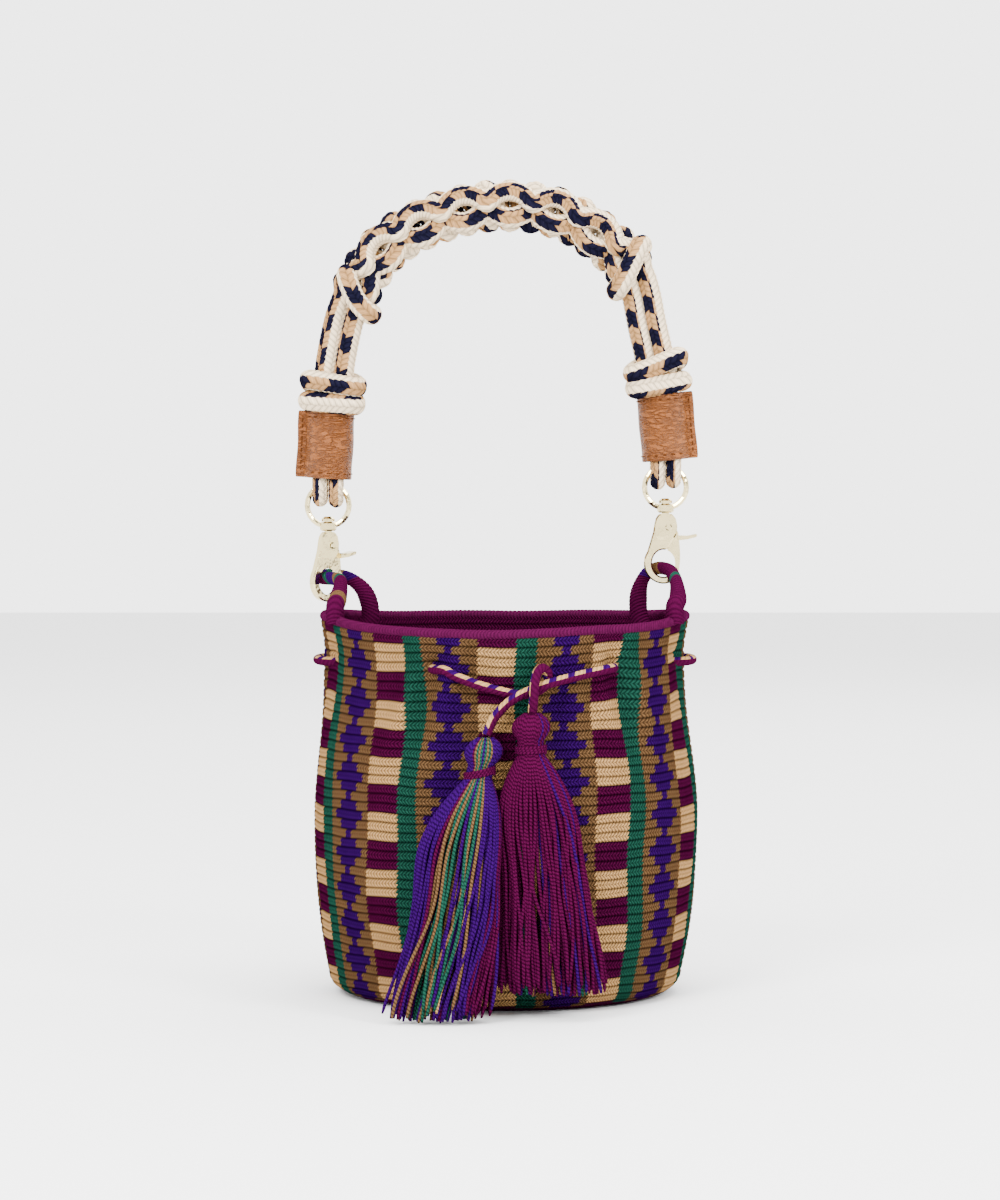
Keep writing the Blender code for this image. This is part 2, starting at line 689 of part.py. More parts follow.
def make_wraps(line, grip, pivot):
    """One slanting turn of rope that closes the knotting at each end of the grip."""
    half = ROPE + ROPE_CLEARANCE / 2 + ROPE / 2 + SEAT * 1.5
    for side, centre, tilt in (("left", grip[0] - WRAP_OFFSET, -WRAP_TILT), ("right", grip[1] + WRAP_OFFSET, WRAP_TILT)):
        points = []
        for k in range(20):
            angle = 2 * math.pi * k / 20
            radius = superellipse(angle, half)
            outward = radius * math.cos(angle)
            points.append(line.spot(centre + tilt * outward, outward * 1.04, radius * math.sin(angle)))
        tube("grip_wrap_" + side, points, ROPE, looks["rope"], pivot, True, cyclic=True)


# Clasps

def ellipse_point(degrees, half):
    angle = math.radians(degrees)
    return (EYE_CENTRE[0] + half[0] * math.cos(angle), EYE_CENTRE[1] + half[1] * math.sin(angle))


def swivel_ring(side, parent):
    mesh = bpy.data.meshes.new("swivel_ring_" + side)
    work = bmesh.new()
    wire = RING_WIRE / 2
    rings = 24
    for k in range(rings):
        turn = 2 * math.pi * k / rings
        for j in range(8):
            round_wire = 2 * math.pi * j / 8
            radius = RING_RADIUS + wire * math.cos(round_wire)
            work.verts.new((radius * math.cos(turn), wire * math.sin(round_wire), radius * math.sin(turn)))
    work.verts.ensure_lookup_table()
    for k in range(rings):
        for j in range(8):
            a = k * 8
            b = (k + 1) % rings * 8
            i = (j + 1) % 8
            work.faces.new([work.verts[n] for n in (a + j, a + i, b + i, b + j)])
    bmesh.ops.recalc_face_normals(work, faces=work.faces)
    work.to_mesh(mesh)
    work.free()
    mesh.materials.append(looks["metal"])
    mesh.shade_smooth()
    ring = place(bpy.data.objects.new("swivel_ring_" + side, mesh), parent)
    shoulder = BOSS_RADIUS * 0.82
    boss = turned("boss_" + side, [(shoulder, BOSS_FOOT), (BOSS_RADIUS, BOSS_FOOT + 0.8 * MM),
                                   (BOSS_RADIUS, BOSS_TOP - 0.8 * MM), (shoulder, BOSS_TOP)],
                  looks["metal"], parent)
    bore = STEM_RADIUS + STEM_CLEARANCE
    drill = turned("drill_" + side, [(bore, BOSS_FOOT - 1 * MM), (bore, BOSS_TOP + 1 * MM)],
                   looks["metal"], parent, 16)
    boolean(ring, boss, "UNION")
    boolean(ring, drill, "DIFFERENCE")
    return ring


def hook_outline():
    """Spine, eye and nose of the hook; the gate fills the open side."""
    outer = (EYE_HALF[0] + HOOK_METAL[0], EYE_HALF[1] + HOOK_METAL[1])
    inner_start, inner_end = 75, -44
    outer_start, outer_end = -33, -214
    top = BOSS_FOOT - 2 * SEAT
    outline = [(3.6 * MM, top), (5.6 * MM, top - 2.6 * MM), (6.5 * MM, top - 6.5 * MM), (6.3 * MM, -25.6 * MM)]
    steps = 18
    for k in range(steps + 1):
        outline.append(ellipse_point(inner_start + (360 + inner_end - inner_start) * k / steps, EYE_HALF))
    for k in range(steps + 1):
        outline.append(ellipse_point(outer_start + (outer_end - outer_start) * k / steps, outer))
    outline += [(-6.9 * MM, -25 * MM), (-6.1 * MM, top - 5.5 * MM), (-5.4 * MM, top - 2.6 * MM), (-3.6 * MM, top)]
    return outline


def slot_outline():
    """Space in the hook where the trigger's plate sits and swings."""
    left = -4.2 * MM
    return [(left, PIVOT[1] + 4.4 * MM), (PIVOT[0] + 14 * MM, PIVOT[1] + 4.4 * MM),
            (PIVOT[0] + 14 * MM, -39 * MM), (left, -39 * MM)]


def hook_body(side, parent):
    half = HOOK_THICKNESS / 2
    hook = extruded("hook_body_" + side, hook_outline(), -half, half, looks["metal"], parent)
    soften(hook, 0.8 * MM, 1)
    slot = extruded("slot_" + side, slot_outline(), -SLOT_WIDTH / 2, SLOT_WIDTH / 2, looks["metal"], parent)
    boolean(hook, slot, "DIFFERENCE")
    drill = tube_between("pin_hole_" + side, PIN_RADIUS + PIN_CLEARANCE, HOOK_THICKNESS, parent)
    boolean(hook, drill, "DIFFERENCE")
    under = BOSS_TOP + SEAT
    top = BOSS_FOOT - 2 * SEAT
    stem = turned("stem_" + side, [(3.4 * MM, top - 2.4 * MM), (3.4 * MM, top), (STEM_RADIUS, top),
                                   (STEM_RADIUS, under), (HEAD_DISC, under), (HEAD_DISC, under + HEAD_RISE * 0.5),
                                   (HEAD_DISC * 0.6, under + HEAD_RISE)], looks["metal"], parent, 16)
    boolean(hook, stem, "UNION")
    return hook


def tube_between(name, radius, thickness, parent):
    """Round cutter through the pivot, along Y."""
    outline = []
    for k in range(14):
        angle = 2 * math.pi * k / 14
        outline.append((PIVOT[0] + radius * math.cos(angle), PIVOT[1] + radius * math.sin(angle)))
    return extruded(name, outline, -thickness, thickness, looks["metal"], parent)


def trigger_outline():
    """Plate of the trigger: round lug, thumb tab root and the gate's inner and outer edges."""
    lug = 3 * MM
    outline = []
    for k in range(8):
        angle = math.radians(30 + 30 * k)
        outline.append((PIVOT[0] + lug * math.cos(angle), PIVOT[1] + lug * math.sin(angle)))
    outline.append((1.2 * MM, -33.6 * MM))
    outline += [ellipse_point(70 - 108 * k / 8, EYE_HALF) for k in range(9)]
    tip_x = 7.4 * MM
    outline.append((tip_x, PIVOT[1] - math.sqrt(GATE_REACH ** 2 - (tip_x - PIVOT[0]) ** 2)))
    outline += [(8.0 * MM, -41 * MM), (8.1 * MM, -36 * MM), (7.7 * MM, -31 * MM), (7.0 * MM, -25 * MM)]
    return outline


def gate_outline():
    """Thicker lower half of the gate, clear of the hook's cheeks through its swing."""
    outline = [ellipse_point(38 - 76 * k / 6, EYE_HALF) for k in range(7)]
    tip_x = 7.4 * MM
    outline.append((tip_x, PIVOT[1] - math.sqrt(GATE_REACH ** 2 - (tip_x - PIVOT[0]) ** 2)))
    outline += [(8.0 * MM, -41 * MM), (8.1 * MM, -37.4 * MM)]
    return outline


def trigger(side, parent):
    """Gate and thumb tab, modelled with the origin on the pin."""
    shift = Vector((-PIVOT[0], 0, -PIVOT[1]))
    local = lambda outline: [(x + shift.x, z + shift.z) for x, z in outline]
    half = TRIGGER_PLATE / 2
    plate = extruded("trigger_" + side, local(trigger_outline()), -half, half, looks["metal"], parent)
    gate = extruded("gate_" + side, local(gate_outline()), -GATE_THICKNESS / 2, GATE_THICKNESS / 2,
                    looks["metal"], parent)
    tab = [(6.6, -26.4), (12, -26.6), (16.8, -25.6), (17.4, -26.4), (16.8, -27.4), (12, -28.6), (6.9, -29.2)]
    thumb = extruded("thumb_" + side, local([(min(x * MM, TAB_REACH), z * MM) for x, z in tab]),
                     -TAB_HALF_WIDTH, TAB_HALF_WIDTH, looks["metal"], parent)
    hole = tube_between("trigger_hole_" + side, PIN_RADIUS + PIN_CLEARANCE, HOOK_THICKNESS, parent)
    hole.location = shift
    boolean(plate, gate, "UNION")
    boolean(plate, thumb, "UNION")
    boolean(plate, hole, "DIFFERENCE")
    return plate


def pin(side, parent):
    """Headed pin through both cheeks and the trigger."""
    face = HOOK_THICKNESS / 2 + SEAT
    headed = turned("trigger_pin_" + side, [(PIN_HEAD * 0.7, -face - 0.6 * MM), (PIN_HEAD, -face - 0.25 * MM),
                                            (PIN_HEAD, -face), (PIN_RADIUS, -face), (PIN_RADIUS, face),
                                            (PIN_HEAD, face), (PIN_HEAD, face + 0.25 * MM),
                                            (PIN_HEAD * 0.7, face + 0.6 * MM)], looks["metal"], parent, 12)
    headed.location = (PIVOT[0], 0, PIVOT[1])
    headed.rotation_euler = (math.radians(90), 0, 0)
    return headed


def spring(side, parent):
    """Small coil between the slot's end and the trigger's lug."""
    points = []
    steps = SPRING_TURNS * 8
    low = -4.2 * MM + SPRING_WIRE / 2 + SEAT * 0.5
    high = PIVOT[0] - 3 * MM - SPRING_WIRE / 2 - SEAT
    for k in range(steps + 1):
        angle = 2 * math.pi * k / 8
        points.append((low + (high - low) * k / steps, SPRING_RADIUS * math.cos(angle),
                       PIVOT[1] + SPRING_RADIUS * math.sin(angle)))
    return tube("trigger_spring_" + side, points, SPRING_WIRE, looks["steel"], parent, rounds=0)


def make_clasp(side, line, handle_axis):
    sleeve_foot, _, _ = line.frame(0 if side == "left" else line.length)
    centre = sleeve_foot - Vector((0, 0, RING_DROP))
    ring_mount = axis_empty("ring_mount_" + side, centre - handle_axis.location, handle_axis)
    swivel_ring(side, ring_mount)
    swivel = axis_empty("swivel_axis_" + side, (0, 0, 0), ring_mount, HOOK_TURN[side])
    hook_body(side, swivel)
    pin(side, swivel)
    spring(side, swivel)
    trigger_axis = axis_empty("trigger_axis_" + side, (PIVOT[0], 0, PIVOT[1]), swivel)
    trigger(side, trigger_axis)


def main():
    clear_scene()
    looks.update({
        "maroon": material("maroon_yarn", (0.16, 0.012, 0.08), 0.9),
        "beige": material("beige_yarn", (0.67, 0.47, 0.21), 0.9),
        "green": material("green_yarn", (0.012, 0.16, 0.089), 0.9),
        "tan": material("tan_yarn", (0.33, 0.16, 0.048), 0.9),
        "purple": material("purple_yarn", (0.069, 0.009, 0.30), 0.9),
        "loop": material("loop_yarn", (0.16, 0.012, 0.08), 0.9),
        "cord": material("drawstring_yarn", (0.16, 0.012, 0.10), 0.85),
        "tassel_left": material("mixed_tassel_yarn", (0.20, 0.10, 0.16), 0.9),
        "tassel_right": material("maroon_tassel_yarn", (0.16, 0.012, 0.08), 0.9),
        "rope": material("cream_rope", (0.72, 0.66, 0.52), 0.8),
        "leather": material("tan_leather", (0.43, 0.13, 0.03), 0.5),
        "metal": material("pale_gold", (0.83, 0.72, 0.48), 0.2, 1.0),
        "steel": material("spring_steel", (0.55, 0.55, 0.55), 0.3, 1.0),
    })
    make_bag()
    tube("drawstring", drawstring_route(), CORD, looks["cord"], rounds=2)
    make_loop("right", 1, RIGHT_LOOP)
    make_loop("left", -1, LEFT_LOOP)
    for side, line in TASSELS.items():
        tassel_yarn(side, line)
        tassel_tie(side, line)
    handle_axis = axis_empty("handle_axis", (0, 0, MOUTH_HEIGHT + SWING_AXIS_RISE))
    line = make_handle(handle_axis)
    for side in HOOK_TURN:
        make_clasp(side, line, handle_axis)


looks = {}
main()
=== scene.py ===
"""Looks of the crocheted bucket bag: yarn wall, tassels, plaited rope, leather and clasps."""
import math

import bmesh
import bpy
import numpy as np
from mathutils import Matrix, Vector


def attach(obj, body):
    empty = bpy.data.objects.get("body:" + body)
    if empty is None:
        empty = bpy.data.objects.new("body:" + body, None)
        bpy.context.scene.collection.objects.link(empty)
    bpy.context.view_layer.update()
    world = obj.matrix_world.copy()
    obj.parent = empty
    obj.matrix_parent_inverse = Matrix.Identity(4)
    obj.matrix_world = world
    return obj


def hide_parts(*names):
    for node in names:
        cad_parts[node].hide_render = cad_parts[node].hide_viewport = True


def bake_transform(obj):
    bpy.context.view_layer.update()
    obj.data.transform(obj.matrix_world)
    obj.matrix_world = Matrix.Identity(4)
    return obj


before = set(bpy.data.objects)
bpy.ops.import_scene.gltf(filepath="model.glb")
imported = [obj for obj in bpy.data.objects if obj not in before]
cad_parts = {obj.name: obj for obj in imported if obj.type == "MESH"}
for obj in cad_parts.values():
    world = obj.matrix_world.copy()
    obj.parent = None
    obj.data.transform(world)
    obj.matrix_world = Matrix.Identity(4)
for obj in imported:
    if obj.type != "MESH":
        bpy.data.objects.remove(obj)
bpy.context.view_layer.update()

MM = 0.001
rng = np.random.default_rng(7)

# Sizes that repeat the construction's own
BASE_RADIUS = 80 * MM
FOOT_RADIUS = 97 * MM
FOOT_HEIGHT = 12 * MM
BELLY_RADIUS = 105 * MM
BELLY_HEIGHT = 98 * MM
NECK_RADIUS = 97.5 * MM
NECK_HEIGHT = 183 * MM
MOUTH_RADIUS = 100.5 * MM
MOUTH_HEIGHT = 203 * MM
SIDE_RISE = 7 * MM
WALL = 4 * MM
WELT = 5.5 * MM
FOLD = 0.9 * MM
FOLDS = 10
CORD = 4.2 * MM
CORD_CLEARANCE = 0.6 * MM
CORD_SHOWN = 5 * MM       # the soft cord is plumper than the construction's
EYELET_REACH = 4.6
FRONT_EYELETS = (-113.0, -53.0)
SIDE_PAIRS = ((-13.0, 13.0), (77.0, 103.0), (167.0, 193.0))
LOOP_CORD = 8 * MM
LOOP_SHOWN = 10 * MM      # where it comes out of the rim
LOOP_HELD = 7 * MM        # squeezed by the hook
ROPE = 8.2 * MM
ROPE_CLEARANCE = 0.4 * MM
ROPE_SHOWN = 11 * MM     # the plaited ropes press on each other
SEAT = 0.3 * MM
SLEEVE_LENGTH = 36.5 * MM
LEATHER = 1.8 * MM
FLAP_REACH = 5 * MM
COLLAR_TURNS = 2.1
COLLAR_TILT = {"left": 0.1, "right": 0.22}
COLLAR_LENGTH = 20 * MM
GRIP_PERIODS = 7
STRAND_STEPS = 8
# Each wrap: mm along the handle from the grip's end, mm outward, tilt, size
WRAPS = {"left": (2, -2.5, 0.7, 0.82), "right": (-4, 0, -0.6, 0.95)}
RING_RADIUS = 11.5 * MM
RING_WIRE = 3 * MM
RING_DROP = 14.8 * MM
FRONT_UPPER = (4.5, 2.9, 8.0, -2.6)
FRONT_LOWER = (-4.6, 3.1, 5.4, 3.2)
FRONT_LEAN = 2.4
BACK_SWING = (9.0, 4.2)
BACK_DEPTH = 6.5
HANDLE_ROUTE = (
    (-97.2, 282.5), (-96.2, 300), (-95, 325), (-92, 352), (-84, 381),
    (-66, 409), (-38, 425), (-5.5, 432), (27.5, 428.5), (53, 414),
    (71, 394), (78, 366), (83.4, 341), (86.1, 316), (88.2, 292.5),
)
GRIP_START = (-84, 381)
GRIP_END = (71, 394)
KNOT_FROM_RIGHT_TASSEL = (
    (14.3, -109.3, 161.8), (15.0, -111.2, 170.0), (15.4, -111.4, 176.5),
    (16.8, -109.0, 182.6), (19.8, -104.8, 184.8), (22.6, -101.9, 181.6),
    (21.6, -101.7, 176.2), (16.8, -101.8, 172.4), (9.0, -102.0, 170.6),
    (0.0, -102.0, 171.8), (-14.0, -101.6, 175.6), (-26.5, -99.0, 180.2),
)
KNOT_TO_LEFT_TASSEL = (
    (52.0, -87.5, 182.6), (44.0, -92.8, 181.2), (35.0, -98.6, 179.4),
    (27.0, -103.4, 177.6), (19.5, -106.4, 175.6), (12.0, -106.6, 172.6),
    (4.0, -106.6, 168.4), (-2.0, -106.8, 163.2), (-6.6, -107.6, 157.4),
    (-9.9, -109.4, 149.5),
)
RIGHT_LOOP = (
    (93.8, -33.0, 218.0), (93.4, -23.0, 226.2), (91.0, -10.5, 231.6), (87.5, 0.0, 233.0),
    (83.5, 9.0, 232.6), (78.4, 14.8, 229.4), (74.8, 17.5, 222.0), (73.8, 18.5, 212.0),
    (75.4, 19.5, 202.0), (80.6, 20.0, 194.4), (86.2, 20.0, 191.6), (89.6, 20.0, 191.4),
)
LEFT_LOOP = (
    (-90.8, -33.0, 217.5), (-89.6, -23.0, 224.4), (-90.6, -13.0, 227.2), (-94.6, -5.6, 227.6),
    (-98.6, -0.7, 227.6), (-102.0, 5.0, 227.9), (-101.2, 12.4, 228.4), (-94.8, 17.4, 228.6),
    (-86.0, 18.8, 226.6), (-78.0, 19.2, 219.5), (-74.6, 19.5, 208.5), (-76.6, 20.0, 199.4),
    (-81.4, 20.0, 193.6), (-86.4, 20.0, 191.5), (-89.6, 20.0, 191.4),
)
LOOP_FOOT = (92.0, -38.0)
TASSELS = {
    "left": ((-10.2, -109.8, 148.2), (-13.5, -114.5, 129.9), (-23.5, -123.5, 94.0), (-27.0, -127.0, 50.0),
             (-35.0, -129.0, 1.0)),
    "right": ((14.2, -109.0, 160.9), (13.4, -112.5, 143.5), (17.0, -115.0, 104.0), (21.5, -116.5, 58.0),
              (24.5, -117.0, 13.0)),
}

# Crochet: stitches round the bag and rows up it
STITCHES = 280
REPEAT = 28
ROW = 2.47 * MM
PATTERN_TURN = 18.5       # degrees from the front to the middle of a diamond
INSIDE_BAND = 6           # maroon rows inside the rim
DIAMOND_MIDDLE = 21
BLOCK_ROWS = 6            # rows of beige, then as many of maroon
BLOCK_STITCHES = 9        # then green up to GREEN_STITCHES, then the diamonds' field
GREEN_STITCHES = 14
PATTERN_ROWS = 81         # rows between the rim and the maroon base
CORD_PATCHES = 11.3       # mm of drawstring to a pair of patches
CORD_LEAN = 0.9
CORD_ROLL = 0.3
WOUND_YARN = 1.9          # mm along a loop to a turn of yarn
WOUND_SLANT = 6.0         # mm that a turn climbs across a loop
ROUTE_STEP = 0.72 * MM    # between the rings of a plaited rope
ROPE_SIDES = 32

# Reflected colours, in linear RGB
MAROON = (0.036, 0.0013, 0.0175)
# Maroon lightened as a painted highlight, for the rolled rim that catches the light
MAROON_PAINTED_HIGHLIGHT = (0.046, 0.003, 0.024)
PURPLE = (0.0165, 0.0, 0.048)
GREEN = (0.0065, 0.041, 0.027)
TAN = (0.086, 0.045, 0.0195)
BEIGE = (0.345, 0.192, 0.075)
CREAM = (0.76, 0.60, 0.40)
ROPE_TAN = (0.36, 0.195, 0.08)
NAVY = (0.0058, 0.0054, 0.0145)
LEATHER_COLOUR = (0.19, 0.057, 0.0095)
# Dark end of the leather's mix: its random mottle and the painted shade in its creases
LEATHER_DARK = (0.05, 0.0145, 0.0035)
WAXED = (0.20, 0.066, 0.02)
GOLD = (0.70, 0.58, 0.30)
STEEL = (0.4, 0.4, 0.4)
PAPER = (0.85, 0.85, 0.85)


def opaque(colour):
    return (*colour, 1.0)


# Node building

class Look:
    """A node material built from short expressions."""

    def __init__(self, name, roughness=0.95, metallic=0.0, specular=0.0):
        self.material = bpy.data.materials.new(name)
        self.material.use_nodes = True
        self.tree = self.material.node_tree
        self.shader = self.tree.nodes["Principled BSDF"]
        self.shader.inputs["Roughness"].default_value = roughness
        self.shader.inputs["Metallic"].default_value = metallic
        self.shader.inputs["Specular IOR Level"].default_value = specular
        self.coords = {}

    def node(self, kind, **settings):
        made = self.tree.nodes.new(kind)
        for key, value in settings.items():
            setattr(made, key, value)
        return made

    def feed(self, socket, value):
        if hasattr(value, "is_output"):
            self.tree.links.new(value, socket)
        else:
            socket.default_value = value

    def math(self, operation, *values):
        made = self.node("ShaderNodeMath", operation=operation)
        for socket, value in zip(made.inputs, values):
            self.feed(socket, value)
        return made.outputs[0]

    def times(self, value, factor):
        return self.math("MULTIPLY", value, factor)

    def plus(self, first, second):
        return self.math("ADD", first, second)

    def minus(self, first, second):
        return self.math("SUBTRACT", first, second)

    def scaled(self, value, factor, offset):
        return self.math("MULTIPLY_ADD", value, factor, offset)

    def size(self, value):
        return self.math("ABSOLUTE", value)

    def fract(self, value):
        return self.math("FRACT", value)

    def above(self, value, limit):
        return self.math("GREATER_THAN", value, limit)

    def crowns(self, phase):
        """0 to 1 row of rounded humps, one to each half turn of the phase."""
        return self.size(self.math("SINE", phase))

    def uv(self):
        """The two pattern coordinates."""
        if "uv" not in self.coords:
            layer = self.node("ShaderNodeUVMap", uv_map="pattern")
            parts = self.node("ShaderNodeSeparateXYZ")
            self.tree.links.new(layer.outputs[0], parts.inputs[0])
            self.coords["uv"] = (parts.outputs[0], parts.outputs[1])
        return self.coords["uv"]

    def place(self):
        if "place" not in self.coords:
            self.coords["place"] = self.node("ShaderNodeTexCoord").outputs["Object"]
        return self.coords["place"]

    def noise(self, scale, detail=2.0, vector=None):
        made = self.node("ShaderNodeTexNoise")
        made.inputs["Scale"].default_value = scale
        made.inputs["Detail"].default_value = detail
        self.feed(made.inputs["Vector"], vector or self.place())
        return made.outputs[0]

    def combine(self, x, y, z=0.0):
        made = self.node("ShaderNodeCombineXYZ")
        for socket, value in zip(made.inputs, (x, y, z)):
            self.feed(socket, value)
        return made.outputs[0]

    def mix(self, share, first, second):
        made = self.node("ShaderNodeMix", data_type="RGBA")
        self.feed(made.inputs[0], share)
        self.feed(made.inputs[6], first)
        self.feed(made.inputs[7], second)
        return made.outputs[2]

    def shade(self, colour, amount):
        """Colour times a grey value."""
        made = self.node("ShaderNodeMix", data_type="RGBA", blend_type="MULTIPLY")
        made.inputs[0].default_value = 1.0
        self.feed(made.inputs[6], colour)
        self.feed(made.inputs[7], self.combine(amount, amount, amount))
        return made.outputs[2]

    def span(self, value, low, high):
        made = self.node("ShaderNodeMapRange", clamp=True)
        self.feed(made.inputs[0], value)
        made.inputs[3].default_value = low
        made.inputs[4].default_value = high
        return made.outputs[0]

    def bump(self, height, distance, strength=1.0):
        made = self.node("ShaderNodeBump")
        made.inputs["Strength"].default_value = strength
        made.inputs["Distance"].default_value = distance
        self.feed(made.inputs["Height"], height)
        self.tree.links.new(made.outputs[0], self.shader.inputs["Normal"])

    def colour(self, value):
        self.feed(self.shader.inputs["Base Color"], value)
        return self.material

    def wave(self, phase):
        """0 to 1 cosine of a phase counted in turns."""
        turn = self.times(phase, 2 * math.pi)
        return self.scaled(self.math("COSINE", turn), 0.5, 0.5)

    def fuzz(self, colour, low=0.72, high=1.22):
        """Uneven dye and loose fibres in a yarn's colour."""
        fine = self.noise(900, 3.0)
        broad = self.noise(90, 2.0)
        both = self.plus(self.times(fine, 0.65), self.times(broad, 0.35))
        return self.shade(colour, self.span(both, low, high))


def crochet_look():
    """Tapestry crochet: block columns, green stripes and purple diamonds on tan, with painted shade between
    rows and stitches.
    """
    look = Look("tapestry_crochet")
    u, v = look.uv()
    lean = look.times(look.minus(look.fract(v), 0.5), 0.7)
    stitch = look.math("FLOOR", look.plus(u, lean))
    row = look.math("FLOOR", v)
    place = look.math("FLOORED_MODULO", look.plus(stitch, 0.5), REPEAT)
    block = look.math("FLOORED_MODULO", look.minus(row, 1.5), 2.0 * BLOCK_ROWS)
    block = look.above(block, float(BLOCK_ROWS))
    colour = look.mix(block, opaque(BEIGE), opaque(MAROON))
    colour = look.mix(look.above(place, float(BLOCK_STITCHES)), colour, opaque(GREEN))
    in_field = look.above(place, float(GREEN_STITCHES))
    field = opaque(TAN)
    step = look.math("FLOOR", look.math("DIVIDE", row, 2.0))
    phase = look.math("PINGPONG", look.plus(step, 3.0), 2.0)
    half = look.scaled(phase, 2.0, 1.0)
    away = look.size(look.minus(place, float(DIAMOND_MIDDLE)))
    field = look.mix(look.math("LESS_THAN", away, half), field, opaque(PURPLE))
    colour = look.mix(in_field, colour, field)
    above = look.math("LESS_THAN", v, 0.0)
    below = look.above(v, float(PATTERN_ROWS))
    edge = look.math("MAXIMUM", above, below)
    colour = look.mix(edge, colour, opaque(MAROON))
    odd = look.scaled(look.math("FLOORED_MODULO", row, 2.0), -2.0, 1.0)
    slant = look.times(look.times(look.fract(v), odd), 1.1)
    yarn = look.wave(look.scaled(u, 1.15, slant))
    ply = look.wave(look.plus(look.times(u, 6.0), look.times(v, -4.0)))
    single = look.wave(look.plus(v, 0.5))
    pair = look.wave(look.scaled(v, 0.5, 0.5))
    ridge = look.math("POWER", look.scaled(pair, 0.45, look.times(single, 0.55)), 0.7)
    # Painted shade: the colour is darkened in the valleys between the rows (ridge) and between the stitches
    # (yarn, ply)
    shade = look.scaled(ridge, 0.95, 0.26)
    shade = look.times(shade, look.scaled(look.math("POWER", yarn, 0.6), 1.0, 0.34))
    shade = look.times(shade, look.scaled(ply, 0.16, 0.92))
    colour = look.shade(look.fuzz(colour, 0.62, 1.36), shade)
    fibres = look.noise(1500, 3.0)
    height = look.plus(look.times(yarn, 0.9), look.times(ply, 0.22))
    height = look.plus(height, look.times(fibres, 0.7))
    look.bump(height, 0.0009, 1.0)
    return look.colour(colour)


def yarn_look(name, tint):
    """Two-ply yarn with its twist drawn in, as bumps and as painted shade between the plies."""
    look = Look(name)
    u, v = look.uv()
    ply = look.crowns(look.times(look.scaled(v, 0.5, u), math.pi))
    # Painted shade: darker in the grooves between the plies
    colour = look.shade(look.fuzz(opaque(tint), 0.66, 1.35), look.scaled(ply, 0.95, 0.32))
    look.bump(look.plus(ply, look.noise(1800, 3.0)), 0.0004, 0.9)
    return look.colour(colour)


BRAID_COLUMNS = 4
BRAID_STITCH = 3.05       # mm along the rope
BRAID_LEAN = 1.5          # stitches from a column's middle to its edge
PATCH_STITCHES = 6        # three of navy, three of tan


def braid_look():
    """Plaited cord: two cream columns between two columns of navy and tan patches, with painted shade
    between the stitches and down each column's middle.
    """
    look = Look("plaited_cord")
    u, v = look.uv()
    column = look.times(u, float(BRAID_COLUMNS))
    across = look.minus(look.fract(column), 0.5)
    number = look.math("FLOOR", column)
    odd = look.math("FLOORED_MODULO", number, 2.0)
    right = look.times(look.above(across, 0.0), 0.5)
    along = look.math("DIVIDE", v, BRAID_STITCH)
    stitch = look.plus(look.scaled(look.size(across), BRAID_LEAN, along), right)
    whole = look.math("FLOOR", stitch)
    saw = look.minus(look.fract(stitch), 0.5)
    edge = look.plus(look.size(across), look.times(saw, 0.16))
    coloured = look.times(odd, look.math("LESS_THAN", edge, 0.5))
    shift = look.times(look.above(number, 1.5), 3.0)
    patch = look.fract(look.math("DIVIDE", look.plus(whole, shift), float(PATCH_STITCHES)))
    tint = look.mix(look.math("LESS_THAN", patch, 0.45), opaque(ROPE_TAN), opaque(NAVY))
    colour = look.mix(coloured, opaque(CREAM), tint)
    crown = look.crowns(look.times(stitch, math.pi))
    middle = look.minus(1.0, look.size(look.times(across, 2.0)))
    threads = look.wave(look.plus(look.times(stitch, 3.0), look.times(across, 2.0)))
    # Painted shade: darker between the stitches (crown), down the groove in each column's middle (middle)
    # and between the threads
    shade = look.scaled(look.math("POWER", crown, 0.6), 0.62, 0.42)
    shade = look.times(shade, look.scaled(look.math("POWER", middle, 5.0), -0.38, 1.0))
    shade = look.times(shade, look.scaled(threads, 0.2, 0.86))
    colour = look.shade(look.fuzz(colour, 0.74, 1.24), shade)
    height = look.plus(look.times(threads, 0.5), look.times(look.noise(1600, 3.0), 0.4))
    look.bump(height, 0.0004, 0.8)
    return look.colour(colour)


def leather_look():
    """Grained leather, creased across by being rolled, with painted shade in the creases."""
    look = Look("waxed_leather", 0.42, specular=0.2)
    mottle = look.noise(45, 4.0)
    stretch = look.node("ShaderNodeMapping")
    stretch.inputs["Scale"].default_value = (1.0, 1.0, 3.2)
    look.feed(stretch.inputs["Vector"], look.place())
    crease = look.noise(150, 3.0, stretch.outputs[0])
    crease = look.size(look.minus(crease, 0.5))
    crease = look.math("MINIMUM", look.times(crease, 9.0), 1.0)
    grain = look.noise(900, 3.0)
    # Darker along the creases (painted shade in the creases) and in a random mottle of the leather's own
    # tone
    tone = look.plus(look.times(crease, 0.42), look.span(mottle, -0.1, 0.8))
    colour = look.mix(tone, opaque(LEATHER_DARK), opaque(LEATHER_COLOUR))
    look.feed(look.shader.inputs["Roughness"], look.span(grain, 0.3, 0.6))
    look.bump(look.plus(crease, look.times(grain, 0.35)), 0.0008, 1.0)
    return look.colour(colour)


def metal_look(name, tint, low=0.06, high=0.2):
    look = Look(name, 0.15, 1.0, 0.5)
    smears = look.noise(60, 3.0)
    look.feed(look.shader.inputs["Roughness"], look.span(smears, low, high))
    look.bump(look.noise(170, 2.0), 0.0005, 0.8)
    return look.colour(look.shade(opaque(tint), look.span(look.noise(120, 2.0), 0.8, 1.03)))


# Geometry helpers

def circle(count):
    """Even angles once round."""
    return 2 * math.pi * np.arange(count) / count


def in_metres(points):
    return [Vector(p) * MM for p in points]


def run_along(path):
    """Distance from the first point to each."""
    return np.concatenate([[0], np.cumsum(np.linalg.norm(np.diff(path, axis=0), axis=1))])


